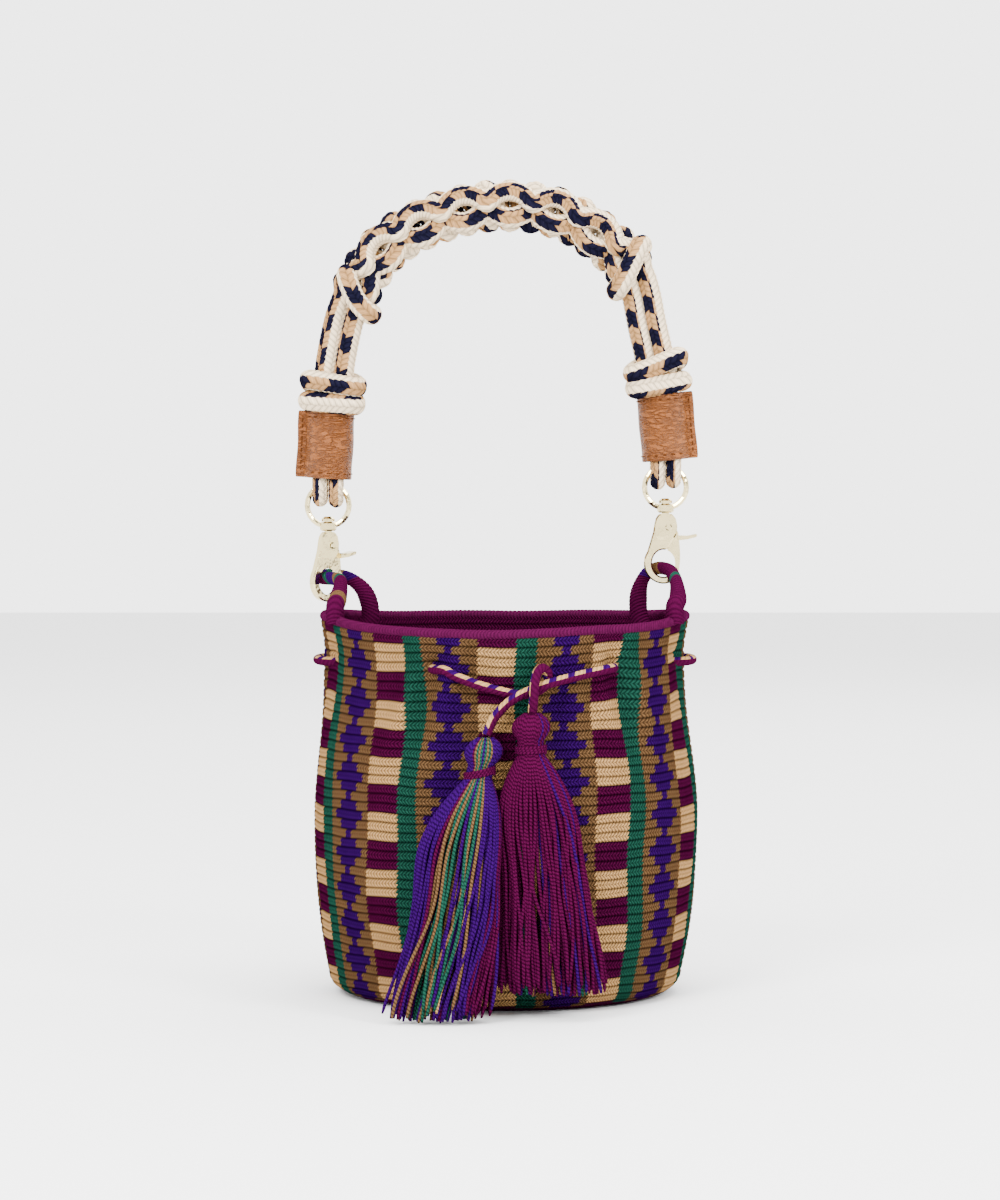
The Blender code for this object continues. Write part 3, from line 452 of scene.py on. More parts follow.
def smooth_route(points, step):
    """Catmull-Rom curve through the points, read at even steps along its length."""
    knots = np.array([tuple(p) for p in points], float)
    knots = np.vstack([2 * knots[0] - knots[1], knots, 2 * knots[-1] - knots[-2]])
    fine = []
    t = np.linspace(0, 1, 24, endpoint=False)[:, None]
    for a, b, c, d in zip(knots, knots[1:], knots[2:], knots[3:]):
        fine.append(0.5 * (2 * b + (c - a) * t + (2 * a - 5 * b + 4 * c - d) * t * t
                           + (3 * b - a - 3 * c + d) * t ** 3))
    fine = np.vstack(fine + [knots[-2:-1]])
    along = run_along(fine)
    count = max(2, round(along[-1] / step) + 1)
    wanted = np.linspace(0, along[-1], count)
    return np.stack([np.interp(wanted, along, fine[:, k]) for k in range(fine.shape[1])], 1)


def closed_route(points, step):
    """The same curve for a closed run, read once round."""
    points = [tuple(p) for p in points]
    long = smooth_route(points + points[:4], step)
    start = np.array(points[1])
    laps = np.linalg.norm(long - start, axis=1)
    first = int(np.argmin(laps[: len(long) // 2]))
    last = len(long) // 2 + int(np.argmin(laps[len(long) // 2:]))
    return long[first:last]


def ease(t):
    t = np.clip(t, 0.0, 1.0)
    return t * t * (3 - 2 * t)


def superellipse(angle, half, power=4):
    return half * (abs(math.cos(angle)) ** power + abs(math.sin(angle)) ** power) ** (-1 / power)


def transported(path, closed=False):
    """Tangents and two cross directions that don't twist along the path."""
    ahead = np.gradient(path, axis=0)
    if closed:
        ahead = np.roll(path, -1, axis=0) - np.roll(path, 1, axis=0)
    ahead /= np.linalg.norm(ahead, axis=1)[:, None]
    side = np.zeros_like(path)
    guess = np.array((0.0, 1.0, 0.0)) if abs(ahead[0][1]) < 0.8 else np.array((1.0, 0.0, 0.0))
    for k, tangent in enumerate(ahead):
        guess = guess - tangent * np.dot(guess, tangent)
        guess /= np.linalg.norm(guess)
        side[k] = guess
    other = np.cross(ahead, side)
    if closed:
        drift = math.atan2(np.dot(side[0], other[-1]), np.dot(side[0], side[-1]))
        turn = np.linspace(0, drift, len(path))[:, None]
        side, other = side * np.cos(turn) + other * np.sin(turn), other * np.cos(turn) - side * np.sin(turn)
    return ahead, side, other


def finish_mesh(mesh, uvs, looks):
    """Pattern coordinates, materials and smooth faces."""
    mesh.uv_layers.new(name="pattern").data.foreach_set("uv", uvs.ravel())
    for look in looks:
        mesh.materials.append(look)
    mesh.shade_smooth()
    return mesh


def wrapped_uvs(columns, rows):
    """Pattern coordinates of a grid round the bag, with the first column repeated at its end."""
    turn = np.linspace(0, 2 * math.pi, columns + 1)
    return np.stack(np.meshgrid(pattern_u(turn), rows), 2)


def grid_mesh(name, points, uvs, looks, closed_along=False, caps=False):
    """Mesh of a grid of points (rows along, columns round) with pattern coordinates at its corners."""
    rows, columns = points.shape[:2]
    down = np.arange(rows if closed_along else rows - 1)
    k, j = np.meshgrid(down, np.arange(columns), indexing="ij")
    k = k.ravel()
    j = j.ravel()
    k2 = (k + 1) % rows
    j2 = (j + 1) % columns
    quads = np.stack([k * columns + j, k * columns + j2, k2 * columns + j2, k2 * columns + j], 1)
    mesh = bpy.data.meshes.new(name)
    faces = quads.tolist()
    if caps:
        faces.append(list(range(columns))[::-1])
        faces.append([(rows - 1) * columns + n for n in range(columns)])
    mesh.from_pydata(points.reshape(-1, 3).tolist(), [], faces)
    corner = np.stack([uvs[k, j], uvs[k, j + 1], uvs[k + 1, j + 1], uvs[k + 1, j]], 1).reshape(-1, 2)
    flat = np.zeros((len(mesh.loops), 2))
    flat[:len(corner)] = corner
    if caps:
        flat[len(corner):] = np.vstack([uvs[0, :columns], uvs[-1, :columns]])
    return finish_mesh(mesh, flat, looks)


def add_piece(name, mesh, body, slot, *nodes):
    piece = bpy.data.objects.new(name, mesh)
    bpy.context.collection.objects.link(piece)
    if body:
        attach(piece, body)
    if nodes:
        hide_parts(*nodes)
    return piece


def join_meshes(name, meshes):
    """One mesh of several, keeping their pattern coordinates and materials."""
    joined = bpy.data.meshes.new(name)
    work = bmesh.new()
    for mesh in meshes:
        work.from_mesh(mesh)
    work.to_mesh(joined)
    work.free()
    for look in meshes[0].materials:
        joined.materials.append(look)
    joined.shade_smooth()
    return joined


def swept(name, path, radius, look, relief=None, around=20, closed=False, start=0.0, roll=0.0):
    """Tube along a path; relief(u, mm) gives its radius as a share of the plain one."""
    _, side, other = transported(path, closed)
    along = run_along(path) / MM + start
    u = np.arange(around) / around
    grid_u, grid_s = np.meshgrid(u, along)
    size = np.broadcast_to(radius, along.shape)[:, None] * np.ones(around)
    roll = np.broadcast_to(roll, along.shape)
    if relief is not None:
        size = size * relief(grid_u + roll[:, None], grid_s)
    turn = 2 * math.pi * grid_u
    points = (path[:, None, :] + side[:, None, :] * (size * np.cos(turn))[:, :, None]
              + other[:, None, :] * (size * np.sin(turn))[:, :, None])
    last = along[-1] + (np.linalg.norm(path[0] - path[-1]) / MM if closed else 0)
    uv_u, uv_s = np.meshgrid(np.arange(around + 1) / around, np.append(along, last))
    uvs = np.stack([uv_u + np.append(roll, roll[-1])[:, None], uv_s], 2)
    return grid_mesh(name, points, uvs, [look], closed_along=closed, caps=not closed)


def braid_relief(u, s):
    """Plaited columns of stitches that meet in a V."""
    across = (u * BRAID_COLUMNS) % 1.0 - 0.5
    stitch = s / BRAID_STITCH + np.abs(across) * BRAID_LEAN + 0.5 * (across > 0)
    crown = np.abs(np.sin(np.pi * stitch)) ** 0.7
    middle = (1 - np.abs(2 * across)) ** 6
    return 0.925 + 0.11 * crown - 0.05 * middle


def twist_relief(bands, depth, lobes=1):
    """Slanting threads round a cord: bands turns a millimetre."""
    def relief(u, s):
        return 1.0 - depth + depth * np.abs(np.sin(np.pi * (s * bands + u * lobes))) ** 0.7
    return relief


# Bag wall

def bell(value, width):
    return np.exp(-(value / width) ** 2)


def turn_gap(turn, degrees):
    """Signed angle from a direction, in degrees."""
    return (np.degrees(turn) - degrees + 180) % 360 - 180


def rim_height(turn):
    """Rim, pulled up at the sides and sagging a little in front and behind."""
    plain = MOUTH_HEIGHT + SIDE_RISE * np.cos(turn) ** 4 + 2.6 * MM * np.abs(np.sin(turn)) ** 1.5
    sag = 0.9 * bell(turn_gap(turn, -94), 17) + 0.8 * bell(turn_gap(turn, 84), 15)
    rise = 0.9 * bell(turn_gap(turn, -60), 16) + 0.6 * bell(turn_gap(turn, 58), 18)
    return plain + (rise - sag) * MM


def wall_radius(height, turn):
    """Outer radius of the wall, with the neck's gathers."""
    foot = np.clip(1 - height / FOOT_HEIGHT, 0, 1)
    low = BASE_RADIUS + (FOOT_RADIUS - BASE_RADIUS) * np.sqrt(np.clip(1 - foot * foot, 0, 1))
    share = np.clip((BELLY_HEIGHT - height) / (BELLY_HEIGHT - FOOT_HEIGHT), 0, 1)
    belly = BELLY_RADIUS - (BELLY_RADIUS - FOOT_RADIUS) * share ** 2.6
    to_neck = ease((height - BELLY_HEIGHT) / (NECK_HEIGHT - BELLY_HEIGHT))
    to_mouth = ease((height - NECK_HEIGHT) / (MOUTH_HEIGHT - NECK_HEIGHT))
    neck = BELLY_RADIUS + (NECK_RADIUS - BELLY_RADIUS) * to_neck
    mouth = NECK_RADIUS + (MOUTH_RADIUS - NECK_RADIUS) * to_mouth
    radius = np.where(height < FOOT_HEIGHT, low,
                      np.where(height < BELLY_HEIGHT, belly, np.where(height < NECK_HEIGHT, neck, mouth)))
    gather = np.exp(-((height - NECK_HEIGHT) / (28 * MM)) ** 2)
    return radius + FOLD * gather * np.cos(FOLDS * turn)


def soft_folds(height, turn):
    """Slack dents of soft cloth, strongest below the neck, with puckers under the front eyelets."""
    up = height / MOUTH_HEIGHT
    arch = np.sin(math.pi * np.clip(up, 0, 1))
    slack = np.sin(3 * turn + 5 * up) * arch * 0.9
    slack += np.sin(7 * turn - 9 * up + 1.3) * arch ** 2 * 0.6
    slack += np.sin(17 * turn + 4 * up) * bell(up - 0.86, 0.1) * 0.7
    for degrees, lean in ((-113, -7), (-53, 6), (-98, -3), (-76, 4)):
        drop = (NECK_HEIGHT - height) / (40 * MM)
        gap = turn_gap(turn, degrees + lean * drop)
        depth = 4.0 if degrees in FRONT_EYELETS else 2.4
        slack -= depth * bell(gap, 4.0) * bell(drop - 0.35, 0.75)
        slack += 0.8 * depth * bell(np.abs(gap) - 7.5, 3.2) * bell(drop - 0.45, 0.7)
    return slack * MM


def eyelet_dents(height, turn):
    """Dents where the drawstring passes through the wall."""
    depth = 0.0
    angles = list(FRONT_EYELETS) + [a for pair in SIDE_PAIRS for a in pair]
    for degrees in angles:
        gap = (turn - math.radians(degrees) + math.pi) % (2 * math.pi) - math.pi
        across = gap * NECK_RADIUS / (5.0 * MM)
        depth = depth + np.exp(-across ** 2 - ((height - NECK_HEIGHT) / (3.0 * MM)) ** 2)
    return depth * 2.6 * MM


def pattern_u(turn):
    """Stitch count at an angle round the bag."""
    degrees = np.degrees(turn) + 90 - PATTERN_TURN
    return degrees / 360 * STITCHES + DIAMOND_MIDDLE


def uneven_rows(height, turn):
    """Rows that wander a little and are drawn up towards the front eyelets."""
    wander = 0.35 * np.sin(5 * turn + height / (17 * MM)) + 0.22 * np.sin(19 * turn - height / (9 * MM))
    drop = NECK_HEIGHT - height
    drawn = sum(bell(turn_gap(turn, d), 7) for d in FRONT_EYELETS) * bell(drop / (22 * MM), 1)
    between = bell(turn_gap(turn, -84), 12) * bell(drop / (30 * MM), 1)
    return (wander + 1.5 * drawn - 1.2 * between) * MM


def make_wall(look):
    columns = 336
    rows = 292
    turn = circle(columns)
    # The path up the wall at the mean radius, from the base's edge to the welt
    heights = np.concatenate([FOOT_HEIGHT * (1 - np.cos(np.linspace(0, math.pi / 2, 14)[:-1])),
                              np.linspace(FOOT_HEIGHT, MOUTH_HEIGHT - 0.3 * WELT, 200)])
    radii = wall_radius(heights, np.full_like(heights, math.pi / 20))
    length = np.concatenate([[0], np.cumsum(np.hypot(np.diff(heights), np.diff(radii)))])
    even = np.linspace(0, length[-1], rows)
    height_row = np.interp(even, length, heights)
    from_top = (length[-1] - even) / ROW - 1.0
    z, a = np.meshgrid(height_row, turn, indexing="ij")
    lift = (rim_height(a) - MOUTH_HEIGHT) * np.clip(z / MOUTH_HEIGHT, 0, 1) ** 4
    tops = np.repeat(from_top[:, None], columns, 1)
    single = 0.5 + 0.5 * np.cos(2 * math.pi * (tops + 0.5))
    pair = 0.5 + 0.5 * np.cos(math.pi * (tops + 1))
    ridge = 0.45 * pair + 0.55 * single
    stitch = pattern_u(a)
    knots = np.abs(np.sin(math.pi * (stitch + 0.7 * (tops % 1.0))))
    fade = ease(z / (6 * MM))
    relief = (0.95 * ridge ** 0.6 + 0.14 * knots - 0.6) * MM * fade
    radius = wall_radius(z, a) + relief + soft_folds(z, a) * fade - eyelet_dents(z + 0 * a, a)
    height = z + lift + uneven_rows(z, a) * fade * ease((MOUTH_HEIGHT - z) / (20 * MM))
    drift = 0.9 * MM * np.sin(z / (11 * MM) + 3 * a) * fade / BELLY_RADIUS
    points = np.stack([radius * np.cos(a + drift), radius * np.sin(a + drift), height], 2)
    mesh = grid_mesh("bag_wall", points, wrapped_uvs(columns, from_top), [look])
    return add_piece("bag_wall", mesh, "bag", "bag_yarn", "crocheted_bag")


def make_inside(look):
    """Inner face of the wall and the floor of the bag."""
    columns = 420
    turn = circle(columns)
    heights = np.linspace(MOUTH_HEIGHT - 0.6 * WELT, WALL * 1.2, 130)
    from_top = (MOUTH_HEIGHT - heights) / ROW - 1.0 - INSIDE_BAND
    z, a = np.meshgrid(heights, turn, indexing="ij")
    lift = (rim_height(a) - MOUTH_HEIGHT) * (z / MOUTH_HEIGHT) ** 4
    ridge = 0.5 + 0.5 * np.cos(2 * math.pi * ((MOUTH_HEIGHT - z) / ROW + 0.5))
    ribs = 1.6 * (0.5 + 0.5 * np.cos(140 * a))
    ridge = np.where(z > MOUTH_HEIGHT - INSIDE_BAND * ROW, ribs, ridge)
    radius = wall_radius(z, a) - WALL - 0.4 * MM * ridge + soft_folds(z, a)
    points = np.stack([radius * np.cos(a), radius * np.sin(a), z + lift], 2)
    wall = grid_mesh("bag_inside_wall", points, wrapped_uvs(columns, from_top), [look])
    shares = np.linspace(1.0, 0.0, 46)[:-1]
    rim = points[-1]
    rings = []
    for share in shares:
        ring = rim * share
        ring[:, 2] = WALL * 1.2 - 0.6 * MM * (1 - share) + 0.25 * MM * np.cos(2 * math.pi * share * 36)
        rings.append(ring)
    uvs = wrapped_uvs(columns, PATTERN_ROWS + 1 + (1 - shares) * 36)
    floor = grid_mesh("bag_floor", np.array(rings), uvs, [look])
    return add_piece("bag_inside", join_meshes("bag_inside", [wall, floor]), "bag", "bag_yarn")


def make_base(look):
    """Underside: maroon rounds of crochet."""
    columns = 160
    turn = circle(columns)
    shares = np.linspace(0.0, 1.0, 100)[1:]
    rounds = BASE_RADIUS / ROW
    rings = []
    for share in shares:
        radius = BASE_RADIUS * share
        rise = 0.25 * MM * (0.5 - 0.5 * math.cos(2 * math.pi * share * rounds))
        rings.append(np.stack([radius * np.cos(turn), radius * np.sin(turn), np.full(columns, rise)], 1))
    uvs = wrapped_uvs(columns, PATTERN_ROWS + 2 + (1 - shares) * rounds)
    mesh = grid_mesh("bag_base", np.array(rings), uvs, [look])
    return add_piece("bag_base", mesh, "bag", "bag_yarn")


def make_welt(look):
    """Rolled rim with slanting stitches."""
    count = 1200
    turn = circle(count)
    mouth = np.full(count, MOUTH_HEIGHT)
    radius = wall_radius(mouth, turn) - WALL / 2 + soft_folds(mouth, turn)
    path = np.stack([radius * np.cos(turn), radius * np.sin(turn), rim_height(turn) - WELT * 0.5], 1)
    mesh = swept("rim_welt", path, WELT / 2, look, twist_relief(0.42, 0.16), around=18, closed=True)
    return add_piece("rim_welt", mesh, "bag", "bag_yarn")


# Cords on the bag

def on_bag(radius, degrees, height):
    turn = math.radians(degrees)
    return (radius * math.cos(turn), radius * math.sin(turn), height)


def threading(degrees, outwards):
    inner = NECK_RADIUS - WALL - FOLD - CORD_CLEARANCE - CORD / 2
    outer = NECK_RADIUS + FOLD + CORD_CLEARANCE + CORD / 2
    first, last = (inner, outer) if outwards else (outer, inner)
    middle = NECK_RADIUS - WALL / 2
    return [on_bag(first, degrees - EYELET_REACH, NECK_HEIGHT), on_bag(middle, degrees, NECK_HEIGHT),
            on_bag(last, degrees + EYELET_REACH, NECK_HEIGHT)]


def inner_run(start, end):
    radius = NECK_RADIUS - WALL - FOLD - CORD_CLEARANCE - CORD / 2
    low = start + EYELET_REACH
    high = end - EYELET_REACH
    count = max(2, round((high - low) / 12))
    return [on_bag(radius, low + (high - low) * k / count, NECK_HEIGHT) for k in range(1, count)]


def drawstring_route():
    left, right = FRONT_EYELETS
    route = in_metres(KNOT_TO_LEFT_TASSEL[::-1])
    route += threading(right, False)
    before = right
    for first, last in SIDE_PAIRS:
        route += inner_run(before, first)
        route += threading(first, True)
        bulge = NECK_RADIUS + FOLD + CORD_CLEARANCE + CORD / 2 + 2 * MM
        route.append(on_bag(bulge, (first + last) / 2, NECK_HEIGHT))
        route += threading(last, False)
        before = last
    route += inner_run(before, left + 360)
    route += threading(left + 360, True)
    route += in_metres(KNOT_FROM_RIGHT_TASSEL[::-1])
    return route


def cord_look():
    """Drawstring: maroon along one side, slanting beige and purple patches along the other, with painted
    shade between the plies.
    """
    look = Look("two_sided_cord")
    u, v = look.uv()
    slant = look.plus(look.math("DIVIDE", v, CORD_PATCHES), look.times(u, CORD_LEAN))
    patch = look.above(look.fract(slant), 0.6)
    patches = look.mix(patch, opaque(BEIGE), opaque(PURPLE))
    side = look.above(look.wave(look.plus(u, -0.5)), 0.42)
    colour = look.mix(side, opaque(MAROON), patches)
    ply = look.crowns(look.times(look.scaled(slant, 4.0, 0.0), math.pi))
    # Painted shade: darker between the slanting plies
    colour = look.shade(look.fuzz(colour), look.scaled(ply, 0.4, 0.7))
    look.bump(look.plus(ply, look.noise(1500, 3.0)), 0.0004, 0.8)
    return look.colour(colour)


def make_drawstring():
    path = smooth_route(drawstring_route(), 0.7 * MM)
    mesh = swept("drawstring_cord", path, CORD_SHOWN / 2, cord_look(), cord_relief,
                 around=16, roll=CORD_ROLL)
    piece = add_piece("drawstring_cord", mesh, "bag", "drawstring_yarn", "drawstring")
    return piece


def cord_relief(u, s):
    """Four bumps to each pair of patches, slanting with them."""
    return 0.93 + 0.1 * np.abs(np.sin(np.pi * 4 * (s / CORD_PATCHES + u * CORD_LEAN))) ** 0.6


def banded_look(name, bands):
    """Yarn wound round a cord in slanting bands, with painted shade between the turns; each band is (start
    in mm, colour).
    """
    look = Look(name)
    u, v = look.uv()
    slant = look.plus(v, look.times(look.wave(u), WOUND_SLANT))
    colour = opaque(bands[0][1])
    for start, tint in bands[1:]:
        colour = look.mix(look.above(slant, float(start)), colour, opaque(tint))
    thread = look.crowns(look.times(slant, math.pi / WOUND_YARN))
    # Painted shade: darker between the wound turns of yarn
    colour = look.shade(look.fuzz(colour), look.scaled(thread, 0.42, 0.66))
    look.bump(look.plus(thread, look.noise(1500, 3.0)), 0.0004, 0.8)
    return look.colour(colour)


def band_relief(u, s):
    slant = s + WOUND_SLANT * (0.5 + 0.5 * np.cos(2 * np.pi * u))
    return 0.93 + 0.09 * np.abs(np.sin(np.pi * slant / WOUND_YARN)) ** 0.6


LOOP_BANDS = {
    "right": ((0, MAROON), (32, GREEN), (35, MAROON), (58, TAN), (66, GREEN), (68.5, PURPLE), (77, MAROON)),
    "left": ((0, MAROON), (13, TAN), (18, MAROON), (36, GREEN), (40, TAN), (44, PURPLE), (51, GREEN),
             (54, MAROON), (62, PURPLE), (70, GREEN), (75, TAN), (81, PURPLE), (88, MAROON)),
}


def make_loop(side, sign, route):
    foot_x = LOOP_FOOT[0] * MM * sign
    foot_y = LOOP_FOOT[1] * MM
    rim = float(rim_height(math.atan2(foot_y, foot_x)))
    foot = Vector((foot_x, foot_y, rim + SEAT * 3))
    below = foot - Vector((0, 0, 5 * MM))
    points = [below, foot + Vector((0, 0, LOOP_CORD / 2))] + in_metres(route)
    points.append(Vector(route[-1]) * MM + Vector((3 * MM * sign, 0, 0)))
    path = smooth_route(points, 0.55 * MM)
    look = banded_look("loop_yarn_" + side, LOOP_BANDS[side])
    slim = ease((path[:, 2] - rim - 6 * MM) / (14 * MM))
    size = LOOP_SHOWN / 2 + (LOOP_HELD - LOOP_SHOWN) / 2 * slim
    mesh = swept("yarn_loop_" + side, path, size, look, band_relief, around=24)
    piece = add_piece("yarn_loop_" + side, mesh, None, "loop_yarn", "loop_" + side)
    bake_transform(piece)
    return piece


# Tassels

HEAD_RADIUS = 9.5 * MM
TIE_RADIUS = 8.2 * MM
NECK_TIE = 3.2 * MM
SKIRT_HALF_WIDTH = 21.5 * MM
SKIRT_HALF_DEPTH = 9 * MM
HEAD_SHARE = 0.1
TIE_SHARE = 0.125
SPREAD_SHARE = 0.3
YARN = 1.85 * MM
STRAND_RINGS = ((1.0, 56), (0.84, 44), (0.64, 32), (0.4, 20))
# Colours round each tassel, clockwise from its right side seen from above; front is the last quarter
TASSEL_COLOURS = {
    "left": ((0, "M"), (180, "P"), (222, "PPM"), (240, "TGP"), (253, "GGT"), (266, "BPGT"), (280, "TGP"),
             (294, "PPT"), (314, "P"), (344, "PM")),
    "right": ((0, "M"), (246, "MMMMP"), (270, "M"), (300, "MMMP"), (335, "M")),
}
UNDER_COLOURS = {"left": "PMPGPT", "right": "PMPMGMPTPM"}
YARN_LETTERS = "MPGTB"


def tassel_spread(share):
    """Half width and depth of the bundle at a share of its length."""
    waist = TIE_RADIUS - NECK_TIE / 2 - SEAT
    head = HEAD_RADIUS * np.sin(math.pi * np.clip(0.07 + 0.88 * share / HEAD_SHARE, 0, 0.97)) ** 0.6
    in_head = share < HEAD_SHARE
    head = np.where(share < HEAD_SHARE * 0.5, head, np.maximum(head, waist))
    spread = 1 - (1 - np.clip((share - TIE_SHARE - 0.02) / SPREAD_SHARE, 0, 1)) ** 2
    flare = 1 + 0.2 * ease((share - 0.5) / 0.5)
    wide = np.where(in_head, head, waist + (SKIRT_HALF_WIDTH * flare - waist) * spread)
    deep = np.where(in_head, head, waist + (SKIRT_HALF_DEPTH - waist) * spread)
    return wide, deep


def strand_slot(side, angle, number, under):
    """Yarn colour of a strand by its place in the bundle; 0 degrees is the right side, 270 the front."""
    letters = [mix for start, mix in TASSEL_COLOURS[side] if math.degrees(angle) % 360 >= start][-1]
    if under:
        letters = UNDER_COLOURS[side]
    return YARN_LETTERS.index(letters[number % len(letters)])


SWEEP = {"left": 0.5, "right": 0.12}


def make_tassel(side, line, looks):
    centre = smooth_route(in_metres(line), 1 * MM)
    around = 6
    rings = 54
    share_all = np.linspace(0.0, 1.0, rings)
    places = []
    for out, count in STRAND_RINGS:
        for k in range(count):
            places.append((out, 2 * math.pi * (k + 0.5 * (count % 4)) / count, k))
    grids = []
    uvs = []
    slots = []
    length = float(len(centre))
    for number, (out, angle, k) in enumerate(places):
        under = out < 0.7
        end = 1.0 - (0.0 if under else 0.05) * rng.random() - 0.01 * rng.random()
        share = share_all * end
        wide, deep = tassel_spread(share)
        pos = share * (len(centre) - 1)
        base = np.stack([np.interp(pos, np.arange(len(centre)), centre[:, c]) for c in range(3)], 1)
        free = ease((share - 0.2) / 0.5)
        low = ease((share - 0.55) / 0.45)
        sway = 0.16 * rng.normal() * free + 0.16 * rng.normal() * low
        drift = (angle + sway + 0.05 * np.sin(11 * share + 1.9 * number) * free
                 - SWEEP[side] * ease((share - 0.3) / 0.7))
        reach = out * (1 + 0.08 * rng.normal() * low) + 0.04 * np.sin(9 * share + 2.3 * number) * free
        x = wide * reach * np.cos(drift) + 1.2 * MM * rng.normal() * low
        y = deep * reach * np.sin(drift)
        path = base + np.stack([x, y, np.zeros(rings)], 1)
        path[:, 2] = np.maximum(path[:, 2], YARN * 0.55)
        _, side_dir, other = transported(path)
        turn = circle(around)
        taper = np.ones(rings)
        taper[-1] = 0.6
        size = YARN / 2 * taper[:, None, None]
        grids.append(path[:, None, :] + side_dir[:, None, :] * (size * np.cos(turn)[None, :, None])
                     + other[:, None, :] * (size * np.sin(turn)[None, :, None]))
        uvs.append(share * length + rng.random() * 3)
        slots.append(strand_slot(side, angle, k + round(out * 7), under))
    mesh = strand_mesh("tassel_%s_strands" % side, grids, uvs, slots, looks)
    slot = "mixed_tassel_yarn" if side == "left" else "maroon_tassel_yarn"
    add_piece(mesh.name, mesh, "bag", slot, "tassel_%s_yarn" % side)
    make_tie(side, centre, looks[0])


def strand_mesh(name, grids, lengths, slots, looks):
    """One mesh of many tubes that all have the same number of rings and sides."""
    rings, around = grids[0].shape[:2]
    k, j = np.meshgrid(np.arange(rings - 1), np.arange(around), indexing="ij")
    k = k.ravel()
    j = j.ravel()
    j2 = (j + 1) % around
    quads = np.stack([k * around + j, k * around + j2, (k + 1) * around + j2, (k + 1) * around + j], 1)
    points = np.vstack([g.reshape(-1, 3) for g in grids])
    faces = []
    corners = []
    for number, along in enumerate(lengths):
        first = number * rings * around
        faces += (quads + first).tolist()
        faces.append([first + m for m in range(around)][::-1])
        faces.append([first + (rings - 1) * around + m for m in range(around)])
        u = np.stack([j, j + 1, j + 1, j], 1) / around
        v = np.stack([along[k], along[k], along[k + 1], along[k + 1]], 1)
        corners.append(np.stack([u.ravel(), v.ravel()], 1))
        corners.append(np.zeros((2 * around, 2)))
    mesh = bpy.data.meshes.new(name)
    mesh.from_pydata(points.tolist(), [], faces)
    finish_mesh(mesh, np.vstack(corners), looks)
    faces_per = (rings - 1) * around + 2
    mesh.polygons.foreach_set("material_index", np.repeat(np.array(slots, dtype=np.int32), faces_per))
    return mesh


def make_tie(side, centre, look):
    """Three turns of yarn round the tassel's neck."""
    spot = centre[round(TIE_SHARE * (len(centre) - 1))]
    tilt = 0.2 if side == "left" else 0.03
    points = []
    turns = 3
    for k in range(turns * 16 + 1):
        angle = 2 * math.pi * k / 16
        rise = (k / (turns * 16) - 0.5) * 3.6 * MM
        radius = TIE_RADIUS - 0.5 * MM
        points.append((spot[0] + radius * math.cos(angle), spot[1] + radius * math.sin(angle),
                       spot[2] + rise + tilt * radius * math.cos(angle)))
    path = smooth_route(points, 0.8 * MM)
    mesh = swept("tassel_%s_binding" % side, path, YARN * 0.5, look, twist_relief(0.5, 0.15, 2), around=8)
    add_piece("tassel_%s_binding" % side, mesh, "bag", "maroon_tassel_yarn", "tassel_%s_tie" % side)


# Handle

class HandleLine:
    """Centre line of the handle, with a frame that points outward and forward."""

    def __init__(self):
        self.points = smooth_route([(x * MM, z * MM) for x, z in HANDLE_ROUTE], 1 * MM)
        self.along = run_along(self.points)
        self.length = self.along[-1]

    def from_end(self, side, s):
        """Distance along the whole line, of s from the end on a side."""
        return s if side == "left" else self.length - s

    def near(self, spot):
        gaps = np.linalg.norm(self.points - np.array(spot) * MM, axis=1)
        return float(self.along[int(np.argmin(gaps))])

    def spot(self, s, outward, forward):
        reach = 3 * MM
        place = np.array([np.interp(s, self.along, self.points[:, k]) for k in range(2)])
        low = min(max(s - reach, 0), self.length - 2 * reach)
        high = low + 2 * reach
        ahead = np.array([np.interp(high, self.along, self.points[:, k])
                          - np.interp(low, self.along, self.points[:, k]) for k in range(2)])
        ahead /= np.linalg.norm(ahead)
        place = place + np.array((-ahead[1], ahead[0])) * outward
        return Vector((place[0], -forward, place[1]))


def strand_offset(strand, turn):
    """Outward and forward offset in mm, and shift along, at a phase of the knotting."""
    swing = math.cos(turn)
    if strand == "front_upper":
        mean, wave, depth, sway = FRONT_UPPER
        return mean + wave * swing, depth + sway * swing, FRONT_LEAN * math.sin(turn)
    if strand == "front_lower":
        mean, wave, depth, sway = FRONT_LOWER
        scallop = 2 * abs(math.cos(turn / 2)) - 1.2
        return mean - wave * scallop, depth + sway * scallop, 0.0
    sign = 1 if strand == "back_upper" else -1
    return sign * BACK_SWING[0] * swing, -BACK_DEPTH + sign * BACK_SWING[1] * math.sin(turn), 0.0


def leg_offset(line, strand, s):
    """Place of a strand beside the others, closer inside the leather."""
    clear = min(s, line.length - s) - SLEEVE_LENGTH
    tight = (ROPE + ROPE_CLEARANCE) / 2
    half = tight + (ROPE_SHOWN * 0.46 - tight) * float(ease((clear + 4 * MM) / (10 * MM)))
    return (half if "upper" in strand else -half), (half if "front" in strand else -half)


def strand_run(line, strand, grip):
    start, end = grip
    quarter = STRAND_STEPS // 4
    steps = GRIP_PERIODS * STRAND_STEPS + 2 * quarter
    period = (end - start) * STRAND_STEPS / steps
    leg_out, leg_front = leg_offset(line, strand, start)
    sleeve = SLEEVE_LENGTH / 2
    spacing = 9 * MM
    before = np.arange(sleeve, start - spacing * 0.4, spacing)
    after = np.arange(line.length - sleeve, end + spacing * 0.4, -spacing)[::-1]
    points = [line.spot(s, *leg_offset(line, strand, s)) for s in before]
    for k in range(steps + 1):
        turn = 2 * math.pi * (k - quarter) / STRAND_STEPS
        along = period * k / STRAND_STEPS
        ramp = float(ease(min(along, end - start - along) / (0.25 * period)))
        outward, forward, shift = [value * MM for value in strand_offset(strand, turn)]
        points.append(line.spot(start + along + shift * ramp, leg_out + (outward - leg_out) * ramp,
                                leg_front + (forward - leg_front) * ramp))
    points += [line.spot(s, *leg_offset(line, strand, s)) for s in after]
    return points


